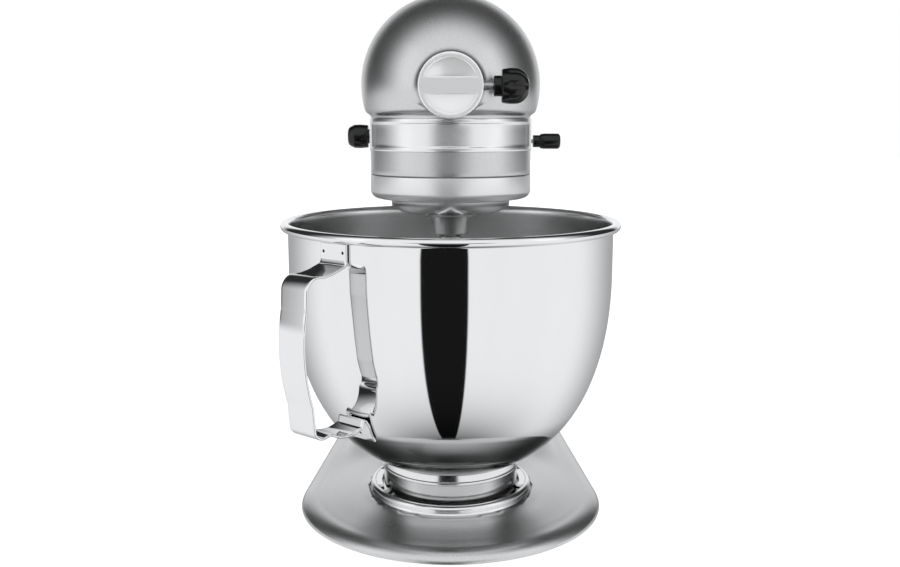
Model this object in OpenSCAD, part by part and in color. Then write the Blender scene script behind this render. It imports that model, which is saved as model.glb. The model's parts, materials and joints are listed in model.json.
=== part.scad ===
// Tilt-head stand mixer: cast base and column, tilting motor head with its
// gear train, planetary beater drive, and a bayonet bowl with a strap handle.
// +Z is up, the attachment hub faces -Y, and the counter is at z = 0.

/* [Overall] */
// Height of the head's top above the counter
head_top = 353; // [345:1:360]
// Height of the attachment hub's axis
hub_z = 290.3; // [286:0.1:294]
// Rear end of the head, behind the bowl's axis
head_rear = 239.6; // [232:0.1:245]

/* [Base] */
// Radius of the base's round front
base_r = 105; // [100:1:110]
// Radius of the base's rear corners
base_corner_r = 50; // [40:1:55]
// Height of the base's deck round the clamp plate
deck_z = 13.5; // [12:0.5:15]
// Height of the column's top face
column_top = 231.5; // [229:0.5:232]

/* [Bowl] */
// Outer radius of the bowl's wall
bowl_r = 109.5; // [105:0.5:112]
// Height of the rolled rim's centre
rim_z = 201; // [196:1:204]
// Wall thickness of the bowl
bowl_wall = 1.2; // [0.8:0.1:2]
// Radius of the bowl's foot ring
foot_r = 47; // [44:0.5:48]
// How far round from the front the handle sits, in degrees
handle_turn = 39; // [25:1:60]
// Width of the handle's strap
strap_w = 22; // [18:1:26]

/* [Head] */
// Radius of the head's round body
dome_r = 60; // [58:0.5:63]
// Half width of the skirt under the round body
skirt_r = 53.5; // [51:0.5:54]
// Wall thickness of the head's castings
head_wall = 3; // [2.5:0.5:4]
// Radius of the attachment hub's bore
hub_bore_r = 16.5; // [15.5:0.1:17]

/* [Drive] */
// Teeth on the fixed ring gear
ring_teeth = 48; // [48:1:48]
// Teeth on the beater shaft's pinion
pinion_teeth = 14; // [14:1:14]
// Module of the ring gear and its pinion
ring_module = 1.4; // [1.35:0.01:1.42]
// Radius of the beater shaft
beater_r = 6.35; // [6:0.05:6.5]

/* [Hidden] */
$fn = 96;

// Every module below is drawn about the bowl's axis, and bowl_y puts that axis in the row frame.
bowl_y = -60;
small_fn = 48;
foot_pad_z = 3;
run_gap = 0.05;

// head
dome_z = head_top - dome_r;
nose_y = 10;
nose_length = 70;
taper_y = 120;
cover_y = 205;
cover_r = 52;
seam_z = 263;
case_z = 234.5;
case_floor = 4;
band_low = 250.5;
band_high = 271;

// hinge
hinge_y = 170;
hinge_z = 221;
hinge_r = 5;
lug_r = 11;
lug_half = 27;

// hub
hub_front = 78;
hub_r = 19.5;
plug_r = 17.4;
plug_back = 69.5;
sleeve_back = 48;

// planetary drive
offset_r = ring_module * (ring_teeth - pinion_teeth) / 2;
planet_r = 39.8;
planet_dish = [16, 8.5];
planet_low = 208;
planet_high = 221;
boss_r = 11.2;
boss_low = 197.7;
journal_r = 7;
gear_low = 222.5;
gear_high = 230.5;
centre_r = 7;

// bevel set: all three axes meet at the apex on the hub's axis
bevel_module = 4 / 3;
crown_teeth = 42;
bevel_teeth = 18;
crown_r = bevel_module * crown_teeth / 2;
bevel_r = bevel_module * bevel_teeth / 2;
bevel_scale = 0.7;
crown_tilt = atan(crown_r / bevel_r);

// worm set
worm_module = 1.3;
worm_starts = 2;
wheel_teeth = 16;
worm_r = 4.6;
wheel_r = worm_module * wheel_teeth / 2;
motor_z = hub_z + worm_r + wheel_r;
worm_lead = worm_starts * PI * worm_module;
worm_angle = atan(worm_lead / (2 * PI * worm_r));

// levers
lock_y = 120;
lock_z = 257.5;
lock_travel = 12;
speed_y = 128;
speed_z = 253.5;
speed_travel = 42;

steel = [0.78, 0.79, 0.8];
paint = [0.66, 0.67, 0.68];
bright = [0.86, 0.87, 0.88];
black = [0.05, 0.05, 0.055];

// ---------- shared shapes ----------

function arc(cx, cy, r, from, to, steps) =
    [for (i = [0:steps]) let (a = from + (to - from) * i / steps) [cx + r * cos(a), cy + r * sin(a)]];

function mirrored(points) = [for (i = [len(points) - 1:-1:0]) [-points[i][0], points[i][1]]];

module along_y() rotate([-90, 0, 0]) children();
module along_x() rotate([0, 90, 0]) children();

module tube(outer, inner, height) {
    difference() {
        cylinder(r = outer, h = height);
        translate([0, 0, -1]) cylinder(r = inner, h = height + 2);
    }
}

// A cap screw with a slot: head of radius r standing on z = 0, shank below it
module slot_screw(r, head, shank_r, shank) {
    difference() {
        union() {
            cylinder(r = r, h = head, $fn = small_fn);
            translate([0, 0, -shank]) cylinder(r = shank_r, h = shank + 0.1, $fn = small_fn);
        }
        translate([-r, -0.5, head - 0.8]) cube([2 * r, 1, 1]);
    }
}

// Closed solid through a list of rings with the same number of points
module loft(rings) {
    n = len(rings[0]);
    levels = len(rings);
    points = [for (ring = rings) each ring];
    sides = [for (k = [0:levels - 2]) for (i = [0:n - 1]) let (j = (i + 1) % n)
        each [[k * n + i, (k + 1) * n + i, k * n + j], [k * n + j, (k + 1) * n + i, (k + 1) * n + j]]];
    ends = [[for (i = [0:n - 1]) i], [for (i = [n - 1:-1:0]) (levels - 1) * n + i]];
    polyhedron(points = points, faces = concat(sides, ends), convexity = 6);
}

// ---------- base and column ----------

// Plan of the base, drawn in by inset: a round front and two rounded rear corners
corner_x = 43;
corner_y = 159;
function base_half(inset) =
    let (lean = asin((base_r - base_corner_r) / norm([corner_x, corner_y]))
        - atan(corner_x / corner_y))
    concat(arc(0, 0, base_r - inset, -90, lean, 26),
           arc(corner_x, corner_y, base_corner_r - inset, lean, 90, 14));
function base_plan(inset) = concat(base_half(inset), mirrored(base_half(inset)));
function at_height(plan, z) = [for (p = plan) [p[0], p[1], z]];

// The deck falls from the clamp plate to a rounded edge: inset and height of each ring
deck_edge = 10;
deck_rings = concat(
    [[1.2, foot_pad_z], [0, foot_pad_z + 1.2]],
    [for (a = [15:15:90]) [deck_edge * 0.9 * (1 - cos(a)), foot_pad_z + 1.2 + 6.3 * sin(a)]],
    [[18, 11.4], [28, 12.4], [42, deck_z]]);

// The column is a lofted stem that flares into the deck. Each of its outlines is a rounded box
// with these front, back and half-width values at height z.
function flare(z, reach, fall) = reach * exp(-(z - deck_z) / fall);
function column_front(z) = 121.5 - 24 * pow(max(0, (150 - z) / 150), 2) - flare(z, 34, 15);
function column_back(z) = 194 + 3 * pow(max(0, (z - 100) / 130), 2) + flare(z, 5, 30);
function column_half(z) = 46 + 4.5 * pow(max(0, (z - 100) / 120), 2) + flare(z, 36, 17);
function column_ring(z, shrink = 0, back_limit = 999, steps = 56) =
    let (front = column_front(z) + shrink, back = min(column_back(z), back_limit),
         half = column_half(z) - shrink, squareness = 2 / 2.7)
    [for (i = [0:steps - 1]) let (a = 360 * i / steps, c = cos(a), s = sin(a))
        [half * sign(c) * pow(abs(c), squareness),
         (front + back) / 2 + (back - front) / 2 * sign(s) * pow(abs(s), squareness), z]];

column_seam = 27;
screw_spots = [[-24, 121], [24, 121], [-27, 181], [27, 181]];
foot_spots = [[-72, -52], [72, -52], [-80, 142], [80, 142], [0, -88]];

module base_casting() {
    color(paint) difference() {
        union() {
            loft([for (r = deck_rings) at_height(base_plan(r[0]), r[1])]);
            loft([for (z = [8, deck_z, 14.5, 16, 18, 20, 22, 24.5, column_seam])
                [for (p = column_ring(max(z, deck_z))) [p[0], p[1], z]]]);
        }
        // seat of the clamp plate
        translate([0, 0, 11.8]) cylinder(r = 57.3, h = 20);
        translate([0, 0, 9.4]) cylinder(r = 51.5, h = 20);
        // hollow underside, with a rib left between its two pockets
        translate([0, 0, -1]) linear_extrude(7.4) difference() {
            polygon(base_plan(9));
            square([14, 500], center = true);
            for (p = foot_spots) translate(p) circle(r = 11, $fn = small_fn);
            translate([-60, 100]) square([120, 12]);
            circle(r = 18, $fn = small_fn);
        }
        translate([0, 0, 5]) linear_extrude(17) column_core(6);
        // wells for the rubber feet and the column's screws
        for (p = foot_spots) translate([p[0], p[1], -1]) cylinder(r = 6.05, h = 6.9, $fn = small_fn);
        for (p = screw_spots) translate([p[0], p[1], 0]) {
            cylinder(r = 3.1, h = 40, $fn = small_fn);
            translate([0, 0, -1]) cylinder(r = 5.6, h = 13, $fn = small_fn);
        }
        for (a = [90, 210, 330]) rotate(a) translate([38, 0, 0]) cylinder(r = 1.6, h = 20, $fn = small_fn);
    }
}

// Plan of the column's hollow, which leaves a boss round each screw
module column_core(inset) {
    difference() {
        offset(r = 24) translate([0, 157]) square([34 - inset, 14 - inset], center = true);
        for (p = screw_spots) translate(p) circle(r = 8.5, $fn = small_fn);
    }
}

module column() {
    levels = [column_seam, 29, 32, 36, 41, 47, 54, for (z = [62:13:205]) z, 211];
    color(paint) difference() {
        loft(concat([for (z = levels) column_ring(z)],
            [for (top = [[217, 196], [222, 192.5], [226, 187], [229.5, 181], [column_top, 176.5]])
                column_ring(top[0], max(0, top[0] - 227) * 0.7, top[1])]));
        // hollow core
        translate([0, 0, column_seam - 1]) linear_extrude(176) column_core(0);
        // seat of the head's hinge lug
        translate([-lug_half - 0.6, hinge_y, hinge_z]) along_x()
            cylinder(r = lug_r + 1.2, h = 2 * lug_half + 1.2);
        translate([-lug_half - 0.6, hinge_y - lug_r - 1.2, hinge_z])
            cube([2 * lug_half + 1.2, 2 * lug_r + 2.4 + 20, 40]);
        translate([-lug_half - 0.6, hinge_y + 8, hinge_z - 6.5]) cube([2 * lug_half + 1.2, 30, 10]);
        // hinge pin, height screw and catch screws
        translate([-60, hinge_y, hinge_z]) along_x() cylinder(r = hinge_r + run_gap, h = 120);
        translate([0, 150, 190]) cylinder(r = 3.1, h = 60, $fn = small_fn);
        for (x = [-16, 16]) translate([x, 134, 212]) cylinder(r = 1.6, h = 30, $fn = small_fn);
        translate([38, hinge_y, hinge_z]) along_y() cylinder(r = 2.05, h = 60, $fn = small_fn);
        for (p = screw_spots) translate([p[0], p[1], 0]) cylinder(r = 3.1, h = 44, $fn = small_fn);
    }
}

module foot_pads() {
    color(black) for (p = foot_spots) translate([p[0], p[1], 0]) {
        cylinder(r = 9, h = foot_pad_z - 0.1, $fn = small_fn);
        cylinder(r = 5.9, h = 5.6, $fn = small_fn);
    }
}

module column_screws() {
    color(steel) for (p = screw_spots) translate([p[0], p[1], 11.9]) {
        cylinder(r = 2.95, h = 28, $fn = small_fn);
        translate([0, 0, -3.6]) cylinder(r = 5.3, h = 3.6, $fn = 6);
    }
}

tab_turns = [0, 180];
module clamp_plate() {
    color(bright) difference() {
        union() {
            rotate_extrude() polygon(concat(
                [[16, 11.9], [16, 13.9], [50.7, 13.9]],
                arc(53.6, 17.4, 2.6, 180, 20, 10),
                [[57, 14.2], [57, 11.9], [51.4, 11.9], [51.4, 9.6], [40, 9.6], [40, 11.9]]));
            // two tabs that hold the bowl's lugs down
            for (t = tab_turns) rotate([0, 0, t - 17])
                rotate_extrude(angle = 34)
                    polygon([[48.3, 18.2], [48.3, 19.7], [53.5, 19.9], [53.5, 17], [51, 17], [50.9, 18.2]]);
        }
        for (a = [90, 210, 330]) rotate(a) translate([38, 0, 0]) cylinder(r = 2.2, h = 40, $fn = small_fn);
    }
}

module clamp_screws() {
    color(steel) for (a = [90, 210, 330]) rotate(a) translate([38, 0, 13.9]) slot_screw(4, 1.6, 1.55, 6);
}

module hinge_pin() {
    color(steel) translate([-46, hinge_y, hinge_z]) along_x() cylinder(r = hinge_r, h = 92);
}

module hinge_grub_screw() {
    color(steel) translate([38, hinge_y + hinge_r + 0.1, hinge_z]) along_y() difference() {
        cylinder(r = 2, h = 9.4, $fn = small_fn);
        translate([0, 0, 6.6]) cylinder(r = 1.2, h = 4, $fn = 6);
    }
}

module height_screw() {
    color(steel) translate([0, 150, 0]) difference() {
        union() {
            translate([0, 0, 200]) cylinder(r = 3.05, h = 32, $fn = small_fn);
            translate([0, 0, column_top + 0.1]) cylinder(r = 5, h = 2.4, $fn = small_fn);
        }
        translate([-5, -0.6, column_top + 1.6]) cube([10, 1.2, 2]);
    }
}

// Eye on the column's top that the lock bar slides through
catch_y = 133;
module lock_catch() {
    color(steel) difference() {
        union() {
            translate([-21, catch_y - 4, column_top + 0.05]) cube([42, 10, 1.6]);
            translate([-9, catch_y, column_top]) cube([18, 3, 17.5]);
        }
        translate([-6.2, catch_y - 1, case_z + 4.7]) cube([12.4, 5, 5.8]);
        for (x = [-16, 16]) translate([x, 134, 212]) cylinder(r = 1.55, h = 30, $fn = small_fn);
    }
}

// ---------- bowl ----------

wall_top = 170;
bowl_floor = 30.5;
floor_r = 41;
// Outer radius of the bowl at height z, and the height of the wall at radius r
function bowl_radius(z, grow = 0) =
    (bowl_r - grow)
    * pow(max(0, 1 - pow(max(0, (wall_top - z) / (wall_top - bowl_floor - grow)), 2.2)), 1 / 2.55);
function bowl_height(r, grow = 0) =
    wall_top - (wall_top - bowl_floor - grow) * pow(1 - pow(min(1, r / (bowl_r - grow)), 2.55), 1 / 2.2);
function bowl_side(grow) =
    concat([for (r = [floor_r:5:91]) [r, bowl_height(r, grow)]],
           [for (z = [bowl_height(91, grow) + 6:7:wall_top - 4]) [bowl_radius(z, grow), z]],
           [[bowl_r - grow, wall_top], [bowl_r - grow, rim_z - 3]]);

rim_r = 3;
module bowl_shell() {
    outside = bowl_side(0);
    inside = bowl_side(bowl_wall);
    flat_z = bowl_height(floor_r);
    color(bright) rotate_extrude($fn = 128) difference() {
        union() {
            polygon(concat(
                [[0, flat_z]], outside, arc(bowl_r + 1.9, rim_z, rim_r, 225, 540, 22),
                [[bowl_r - bowl_wall, rim_z - 0.5]],
                [for (i = [len(inside) - 1:-1:0]) inside[i]],
                [[0, bowl_height(floor_r, bowl_wall)]]));
        }
        translate([bowl_r + 1.9, rim_z]) circle(r = rim_r - 0.9, $fn = 32);
    }
}

lug_turns = [8, 188];
module bowl_foot() {
    low = 14.15;
    color(bright) union() {
        rotate_extrude() polygon([
            [foot_r - 1.3, low], [foot_r, low], [foot_r, 30], [foot_r + 1, 31], [foot_r + 1, 33.2],
            [foot_r, 34.4], [foot_r, bowl_height(foot_r) - 0.1],
            [foot_r - 1.3, bowl_height(foot_r - 1.3) - 0.1]]);
        for (t = lug_turns) rotate([0, 0, t - 14])
            rotate_extrude(angle = 28) polygon([
                [foot_r - 0.6, low + 0.6], [50.2, low + 1.2], [50.2, low + 2.7], [foot_r - 0.6, low + 3.6]]);
    }
}

// The strap's line in its own plane: distance from the bowl's axis, and height
function off_bowl(z, d) =
    let (lean = [bowl_radius(z + 0.5) - bowl_radius(z - 0.5), 1], t = lean / norm(lean))
    [bowl_radius(z) + d * t[1], z - d * t[0]];
strap_t = 1.6;
tab_reach = bowl_r + 0.1 + strap_t / 2;
strap_line = concat(
    [[tab_reach, 197.6]],
    arc(tab_reach + 4, 188.3, 4, 180, 255, 5),
    arc(133.5, 172.2, 9, 80, 15, 7),
    arc(35.4, 139, 110, 12, -18, 16),
    arc(131.6, 92.2, 7.6, -25, -105, 7),
    arc(110, 110, 29, -58, -112, 8),
    arc(97.6, 84.4, 2.6, 80, 150, 4),
    [for (z = [83.5, 80, 76, 71.5]) off_bowl(z, strap_t / 2 + 0.12)]);
function strap_side(line, d) = [for (i = [0:len(line) - 1])
    let (a = line[max(0, i - 1)], b = line[min(len(line) - 1, i + 1)], t = (b - a) / norm(b - a))
    [line[i][0] + d * t[1], line[i][1] - d * t[0]]];

module bowl_handle() {
    left = strap_side(strap_line, -strap_t / 2);
    right = strap_side(strap_line, strap_t / 2);
    color(bright) rotate([0, 0, -90 - handle_turn]) rotate([90, 0, 0])
        difference() {
            linear_extrude(strap_w, center = true)
                polygon(concat(left, [for (i = [len(right) - 1:-1:0]) right[i]]));
            // weld dimples
            for (z = [-8, 8]) translate([tab_reach + strap_t / 2 - 0.7, 192.8, z])
                along_x() cylinder(r = 0.8, h = 3, $fn = 24);
            dot = off_bowl(76.5, strap_t + 0.12);
            translate([dot[0], dot[1], 2]) rotate([0, 90, -30]) translate([0, 0, -0.7])
                cylinder(r = 0.8, h = 4, $fn = 24);
        }
}

// ---------- head castings ----------

// Radius of the round body along its tapered stretch, from 0 at its start to 1 at its end
function body_r(along) = dome_r - (dome_r - cover_r) * pow(along, 2);

// Half outline of the round body, drawn in by inset: radius and distance along Y
function dome_line(inset) = concat(
    [for (a = [0:7.5:90]) [(dome_r - inset) * sin(a), nose_y - (nose_length - inset) * cos(a)]],
    [[dome_r - inset, taper_y]],
    [for (i = [1:6]) [body_r(i / 6) - inset, taper_y + (cover_y - taper_y) * i / 6]],
    [for (a = [10:10:90])
        [(cover_r - inset) * pow(cos(a), 0.8), cover_y + (head_rear - cover_y - inset) * sin(a)]]);

module dome(inset) {
    translate([0, 0, dome_z]) along_y() rotate_extrude($fn = 128)
        polygon(concat([[0, nose_y - nose_length + inset]], dome_line(inset), [[0, head_rear - inset]]));
}

// Plan of the skirt: a round front on the bowl's axis, then a little inside the round body's
// width at the trim band's top edge, to the rear end
function width_at(r) = sqrt(max(0, r * r - pow(dome_z - band_high, 2)));
function skirt_x(r) = width_at(r) - width_at(dome_r) + skirt_r;
function skirt_half(inset) = concat(
    arc(0, 0, skirt_r - inset, -90, 0, 24),
    [for (i = [0:6]) [skirt_x(body_r(i / 6)) - inset, taper_y + (cover_y - taper_y) * i / 6]],
    [for (a = [8, 16, 24, 32, 40, 48, 56, 62, 66])
        [skirt_x(cover_r * pow(cos(a), 0.8)) - inset,
         cover_y + (head_rear - cover_y) * sin(a) - inset * sin(a)]],
    [[0, cover_y + (head_rear - cover_y) * sin(69) - inset]]);
module skirt_plan(inset) polygon(concat(skirt_half(inset), mirrored(skirt_half(inset))));

// Side outline of the lower casting: flat under the front, rising behind the hinge
rise_y = 182;
rise_z = seam_z + 6;
module case_side(inset) {
    rotate([90, 0, 90]) linear_extrude(200, center = true)
        polygon(concat([[-90, seam_z + 60], [-90, case_z + inset], [rise_y, case_z + inset]],
            [for (a = [80:-10:0]) [rise_y + (238 - rise_y - inset) * pow(cos(a), 1.2),
                rise_z - (rise_z - case_z - inset) * pow(sin(a), 1.2)]],
            [[260, seam_z + 60]]));
}

module head_outside(inset) {
    dome(inset);
    translate([0, 0, seam_z]) linear_extrude(22) skirt_plan(inset);
}

// Shallow seat round both castings for the trim band, and the round body's undercut above it
band_end = 186;
groove = 0.9;
module band_seat() {
    translate([0, 0, band_low - 0.1]) linear_extrude(band_high - band_low + 0.2) difference() {
        translate([-80, -80]) square([160, 80 + band_end + 0.3]);
        skirt_plan(groove);
    }
    translate([0, 0, band_high]) linear_extrude(1.6) difference() {
        translate([-80, -80]) square([160, 80 + cover_y]);
        skirt_plan(0);
    }
}

// Slot for a lever that starts at y and slides back by travel, on the side the sign gives
module lever_slot(side, y, z, travel) {
    translate([side > 0 ? 40 : -70, y - 5.5, z - 2]) cube([30, travel + 11, 4]);
}

module motor_housing() {
    color(paint) difference() {
        union() {
            difference() {
                union() {
                    head_outside(0);
                    translate([0, -hub_front, hub_z]) along_y() cylinder(r = hub_r, h = 30);
                }
                difference() {
                    union() {
                        dome(head_wall);
                        translate([0, 0, seam_z - 1]) linear_extrude(23) skirt_plan(head_wall);
                    }
                    // pad that carries the hub sleeve inside the nose
                    translate([0, -60, hub_z]) along_y() cylinder(r = hub_r + 2, h = 13);
                }
            }
            // ribs that hold the stator
            intersection() {
                for (a = [-100, -40, 40, 100]) translate([0, 56, motor_z]) rotate([0, a, 0])
                    translate([-3, 0, 38.1]) cube([6, 56, 30]);
                dome(1);
            }
        }
        translate([-100, -120, 100]) cube([200, 500, seam_z - 100]);
        translate([-100, cover_y, 100]) cube([200, 100, 300]);
        band_seat();
        // bore for the sleeve and hole for the clamp stud
        translate([0, -hub_front - 1, hub_z]) along_y() cylinder(r = 18.52, h = 60);
        translate([0, -66, hub_z]) along_x() cylinder(r = 3.2, h = 60, $fn = small_fn);
        // brush openings
        for (s = [-1, 1]) translate([s * 30, 129, motor_z]) rotate([0, s * 90, 0])
            cylinder(r = 8.1, h = 60, $fn = small_fn);
    }
}

module gear_case() {
    color(paint) difference() {
        union() {
            difference() {
                intersection() {
                    translate([0, 0, case_z]) linear_extrude(seam_z - 0.2 - case_z) skirt_plan(0);
                    case_side(0);
                }
                difference() {
                    intersection() {
                        translate([0, 0, case_z + case_floor]) linear_extrude(60)
                            skirt_plan(head_wall + 0.5);
                        case_side(case_floor);
                    }
                    // bearing boss and the cross shaft's posts
                    translate([0, 0, case_z]) cylinder(r = 15, h = 18.5);
                    for (x = [-42, 35]) translate([x, -8, case_z]) cube([7, 16, 60]);
                    for (p = case_screw_spots) translate([p[0], p[1], case_z])
                        cylinder(r = 5, h = 60, $fn = small_fn);
                }
            }
            // posts above the joint
            for (x = [-42, 35]) translate([x, -8, seam_z - 1]) cube([7, 16, hub_z - seam_z + 8]);
            // seat of the ring gear and register of the drip ring
            translate([0, 0, gear_high + 0.1]) tube(44, 36.4, 5);
            translate([0, 0, gear_low]) tube(50.4, 43.85, 13);
            // hinge lug
            translate([-lug_half, hinge_y, hinge_z]) along_x() cylinder(r = lug_r, h = 2 * lug_half);
            translate([-lug_half, hinge_y - lug_r, hinge_z])
                cube([2 * lug_half, 2 * lug_r, case_z - hinge_z + 3]);
        }
        translate([-60, hinge_y, hinge_z]) along_x() cylinder(r = hinge_r + run_gap, h = 120);
        cylinder(r = 11.02, h = 400);
        translate([-60, 0, hub_z]) along_x() cylinder(r = 6.02, h = 120, $fn = small_fn);
        lever_slot(-1, lock_y - lock_travel, lock_z, lock_travel);
        lever_slot(1, speed_y, speed_z, speed_travel);
        band_seat();
        // way in for the column's catch
        translate([-11, 116, case_z - 1]) cube([22, 24, 10]);
        for (x = [-16, 16]) translate([x, catch_y + 1, case_z - 1]) cylinder(r = 3.4, h = 3, $fn = small_fn);
        for (p = case_screw_spots) translate([p[0], p[1], 200]) {
            cylinder(r = 2.1, h = 100, $fn = small_fn);
            cylinder(r = 4.2, h = case_z + 2 - 200, $fn = small_fn);
        }
    }
}

case_screw_spots = [[-43, 60], [43, 60], [-36, 184], [36, 184]];
module case_screws() {
    color(steel) for (p = case_screw_spots) translate([p[0], p[1], 0]) {
        translate([0, 0, case_z + 2]) cylinder(r = 2.05, h = 25, $fn = small_fn);
        difference() {
            translate([0, 0, case_z + 0.3]) cylinder(r = 3.9, h = 1.7, $fn = small_fn);
            translate([-4, -0.5, case_z]) cube([8, 1, 1.1]);
        }
    }
}

// Trim band: a strip with raised borders that covers the castings' joint
module band_layer(low, high, out) {
    translate([0, 0, low]) linear_extrude(high - low) difference() {
        skirt_plan(-out);
        skirt_plan(groove - run_gap);
        translate([-80, band_end]) square([160, 80]);
    }
}
module trim_band() {
    color(bright) difference() {
        union() {
            band_layer(band_low, band_high, 0);
            band_layer(band_low, band_low + 3, 0.5);
            band_layer(band_high - 3, band_high, 0.5);
        }
        lever_slot(-1, lock_y - lock_travel, lock_z, lock_travel);
        lever_slot(1, speed_y, speed_z, speed_travel);
        for (s = [-1, 1]) translate([s * 30, 178, 261]) rotate([0, s * 90, 0])
            cylinder(r = 1.7, h = 60, $fn = 24);
    }
}

module band_screws() {
    side = skirt_x(body_r((178 - taper_y) / (cover_y - taper_y)));
    color(steel) for (s = [-1, 1]) translate([s * (side + 0.5), 178, 261])
        rotate([0, s * 90, 0]) difference() {
            union() {
                cylinder(r = 2.8, h = 1.3, $fn = 24);
                translate([0, 0, -1.1]) cylinder(r = 1.5, h = 1.2, $fn = 24);
            }
            translate([-3, -0.4, 0.7]) cube([6, 0.8, 1]);
        }
}

module drip_ring() {
    color(bright) rotate_extrude($fn = 128) polygon(concat(
        [[50.5, case_z - 0.1], [skirt_r + 0.3, case_z - 0.1]],
        arc(skirt_r - 4.7, 223.8, 5, 0, -90, 8),
        [[44, 218.8], [44, 220.3]],
        arc(skirt_r - 5.6, 224.3, 4, -90, -45, 4),
        [[50.5, 225.8]]));
}

module rear_cover() {
    color(paint) difference() {
        head_outside(0);
        dome(head_wall - 0.5);
        translate([0, 0, seam_z - 1]) linear_extrude(23) skirt_plan(head_wall - 0.5);
        translate([-100, -120, 100]) cube([200, 500, seam_z - 100]);
        translate([-100, -120, 100]) cube([200, 120 + cover_y + 0.4, 300]);
        translate([0, 200, dome_z]) along_y() cylinder(r = 2.1, h = 60, $fn = small_fn);
        cord_way() cylinder(r = 6.05, h = 40, $fn = small_fn);
        // cooling slots under the rear end
        for (x = [-20:8:4]) translate([x - 1.5, cover_y + 8, seam_z - 2]) cube([3, 40, 9]);
    }
}

module rear_cover_screw() {
    color(steel) translate([0, head_rear + 0.1, dome_z]) along_y() {
        translate([0, 0, -30]) cylinder(r = 2, h = 30, $fn = small_fn);
        translate([0, 0, -1.6]) difference() {
            cylinder(r = 2, h = 1.6, $fn = small_fn);
            translate([-2, -0.4, 0.9]) cube([4, 0.8, 1]);
        }
    }
}

module hub_sleeve() {
    front = hub_front - 2.6;
    color(steel) translate([0, 0, hub_z]) difference() {
        union() {
            translate([0, -front, 0]) along_y() cylinder(r = 18.5, h = front - sleeve_back);
            translate([0, -sleeve_back, 0]) along_y() cylinder(r = 18.5, h = 4);
        }
        translate([0, -plug_back, 0]) along_y() cylinder(r = hub_bore_r, h = plug_back - sleeve_back);
        translate([0, -90, 0]) along_y() cylinder(r = plug_r + 0.06, h = 90 - plug_back + 0.3);
        translate([0, -60, 0]) along_y() cylinder(r = 8.05, h = 60);
        translate([0, -66, 0]) along_x() cylinder(r = 3.2, h = 60, $fn = small_fn);
    }
}

// Pull-off cover: a plug in the hub's mouth and a flange with two half-moon finger recesses
cover_flange = 4;
module hub_cover() {
    color(bright) translate([0, -hub_front - cover_flange - 0.2, hub_z]) along_y() difference() {
        union() {
            rotate_extrude()
                polygon([[0, 0], [18.5, 0], [19.3, 0.8], [19.3, cover_flange], [0, cover_flange]]);
            cylinder(r = plug_r, h = hub_front + cover_flange + 0.2 - plug_back);
        }
        translate([0, 0, -1]) linear_extrude(3.4) difference() {
            circle(r = 16.2);
            square([60, 9.4], center = true);
        }
        translate([0, 0, cover_flange + 1]) cylinder(r = plug_r - 1.6, h = 20);
    }
}

module clamp_stud() {
    thread_turns = 7;
    color(steel) translate([0, -66, hub_z]) along_x() {
        translate([0, 0, 17]) cylinder(r = 2.55, h = 11.8, $fn = small_fn);
        for (i = [0:thread_turns - 1]) translate([0, 0, 18.8 + i]) rotate_extrude($fn = small_fn)
            polygon([[2.4, 0], [3.1, 0.35], [3.1, 0.55], [2.4, 0.9]]);
    }
}

knob_start = 25.8;
module clamp_knob() {
    wings = 6;
    color(black) translate([knob_start, -66, hub_z]) along_x() difference() {
        union() {
            cylinder(r = 6.2, h = 5, $fn = small_fn);
            translate([0, 0, 4.5]) rotate_extrude($fn = 64) polygon(concat(
                [[0, 0], [9.9, 0], [10.6, 0.8], [10.6, 8.2]],
                arc(2.1, 8.2, 8.5, 0, 90, 8), [[0, 16.7]]));
        }
        translate([0, 0, -1]) cylinder(r = 2.57, h = 4.2, $fn = small_fn);
        for (i = [0:wings - 1]) rotate(30 + 60 * i) translate([13.9, 0, 3])
            cylinder(r = 4.3, h = 30, $fn = 32);
    }
}

module ring_of_teeth(teeth, root, tip, root_half, tip_half) {
    pitch = 360 / teeth;
    corners = [[root, -root_half], [tip, -tip_half], [tip, tip_half], [root, root_half]];
    polygon([for (i = [0:teeth - 1]) for (k = corners)
        let (a = pitch * (i + k[1])) [k[0] * cos(a), k[0] * sin(a)]]);
}

module ring_gear() {
    pitch_r = ring_module * ring_teeth / 2;
    color(steel) translate([0, 0, gear_low]) linear_extrude(gear_high - gear_low) difference() {
        circle(r = 43.8);
        // teeth point inwards, one of them on the way to the beater shaft
        rotate(180 / ring_teeth)
            ring_of_teeth(ring_teeth, pitch_r - ring_module * 0.8, pitch_r + ring_module * 1.25, 0.31, 0.2);
    }
}

module planetary_bush() {
    color([0.72, 0.55, 0.3]) translate([0, 0, 231.2]) tube(11, centre_r + 0.03, 21.8);
}

module cross_shaft_bushes() {
    color([0.72, 0.55, 0.3]) for (x = [-42, 35]) translate([x, 0, hub_z]) along_x() tube(6, 4.03, 7);
}

module stator() {
    color([0.45, 0.36, 0.28]) translate([0, 56, motor_z]) along_y() {
        tube(38, 21, 56);
        for (z = [-7, 56]) translate([0, 0, z]) for (s = [0, 180]) rotate(s)
            rotate([0, 0, -55]) rotate_extrude(angle = 110) polygon([[22, 0], [32, 0], [32, 7], [22, 7]]);
    }
}

module brush_holders() {
    color([0.62, 0.5, 0.28]) for (s = [-1, 1]) translate([s * 12.8, 129, motor_z]) rotate([0, s * 90, 0]) {
        cylinder(r = 4, h = 39.8, $fn = small_fn);
        translate([0, 0, 6]) cylinder(r = 6, h = 31, $fn = small_fn);
    }
}

module brush_caps() {
    color(black) for (s = [-1, 1]) translate([s * 53, 129, motor_z]) rotate([0, s * 90, 0]) difference() {
        cylinder(r = 7.9, h = 6.2, $fn = small_fn);
        translate([-8, -0.8, 4.9]) cube([16, 1.6, 3]);
    }
}

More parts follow.
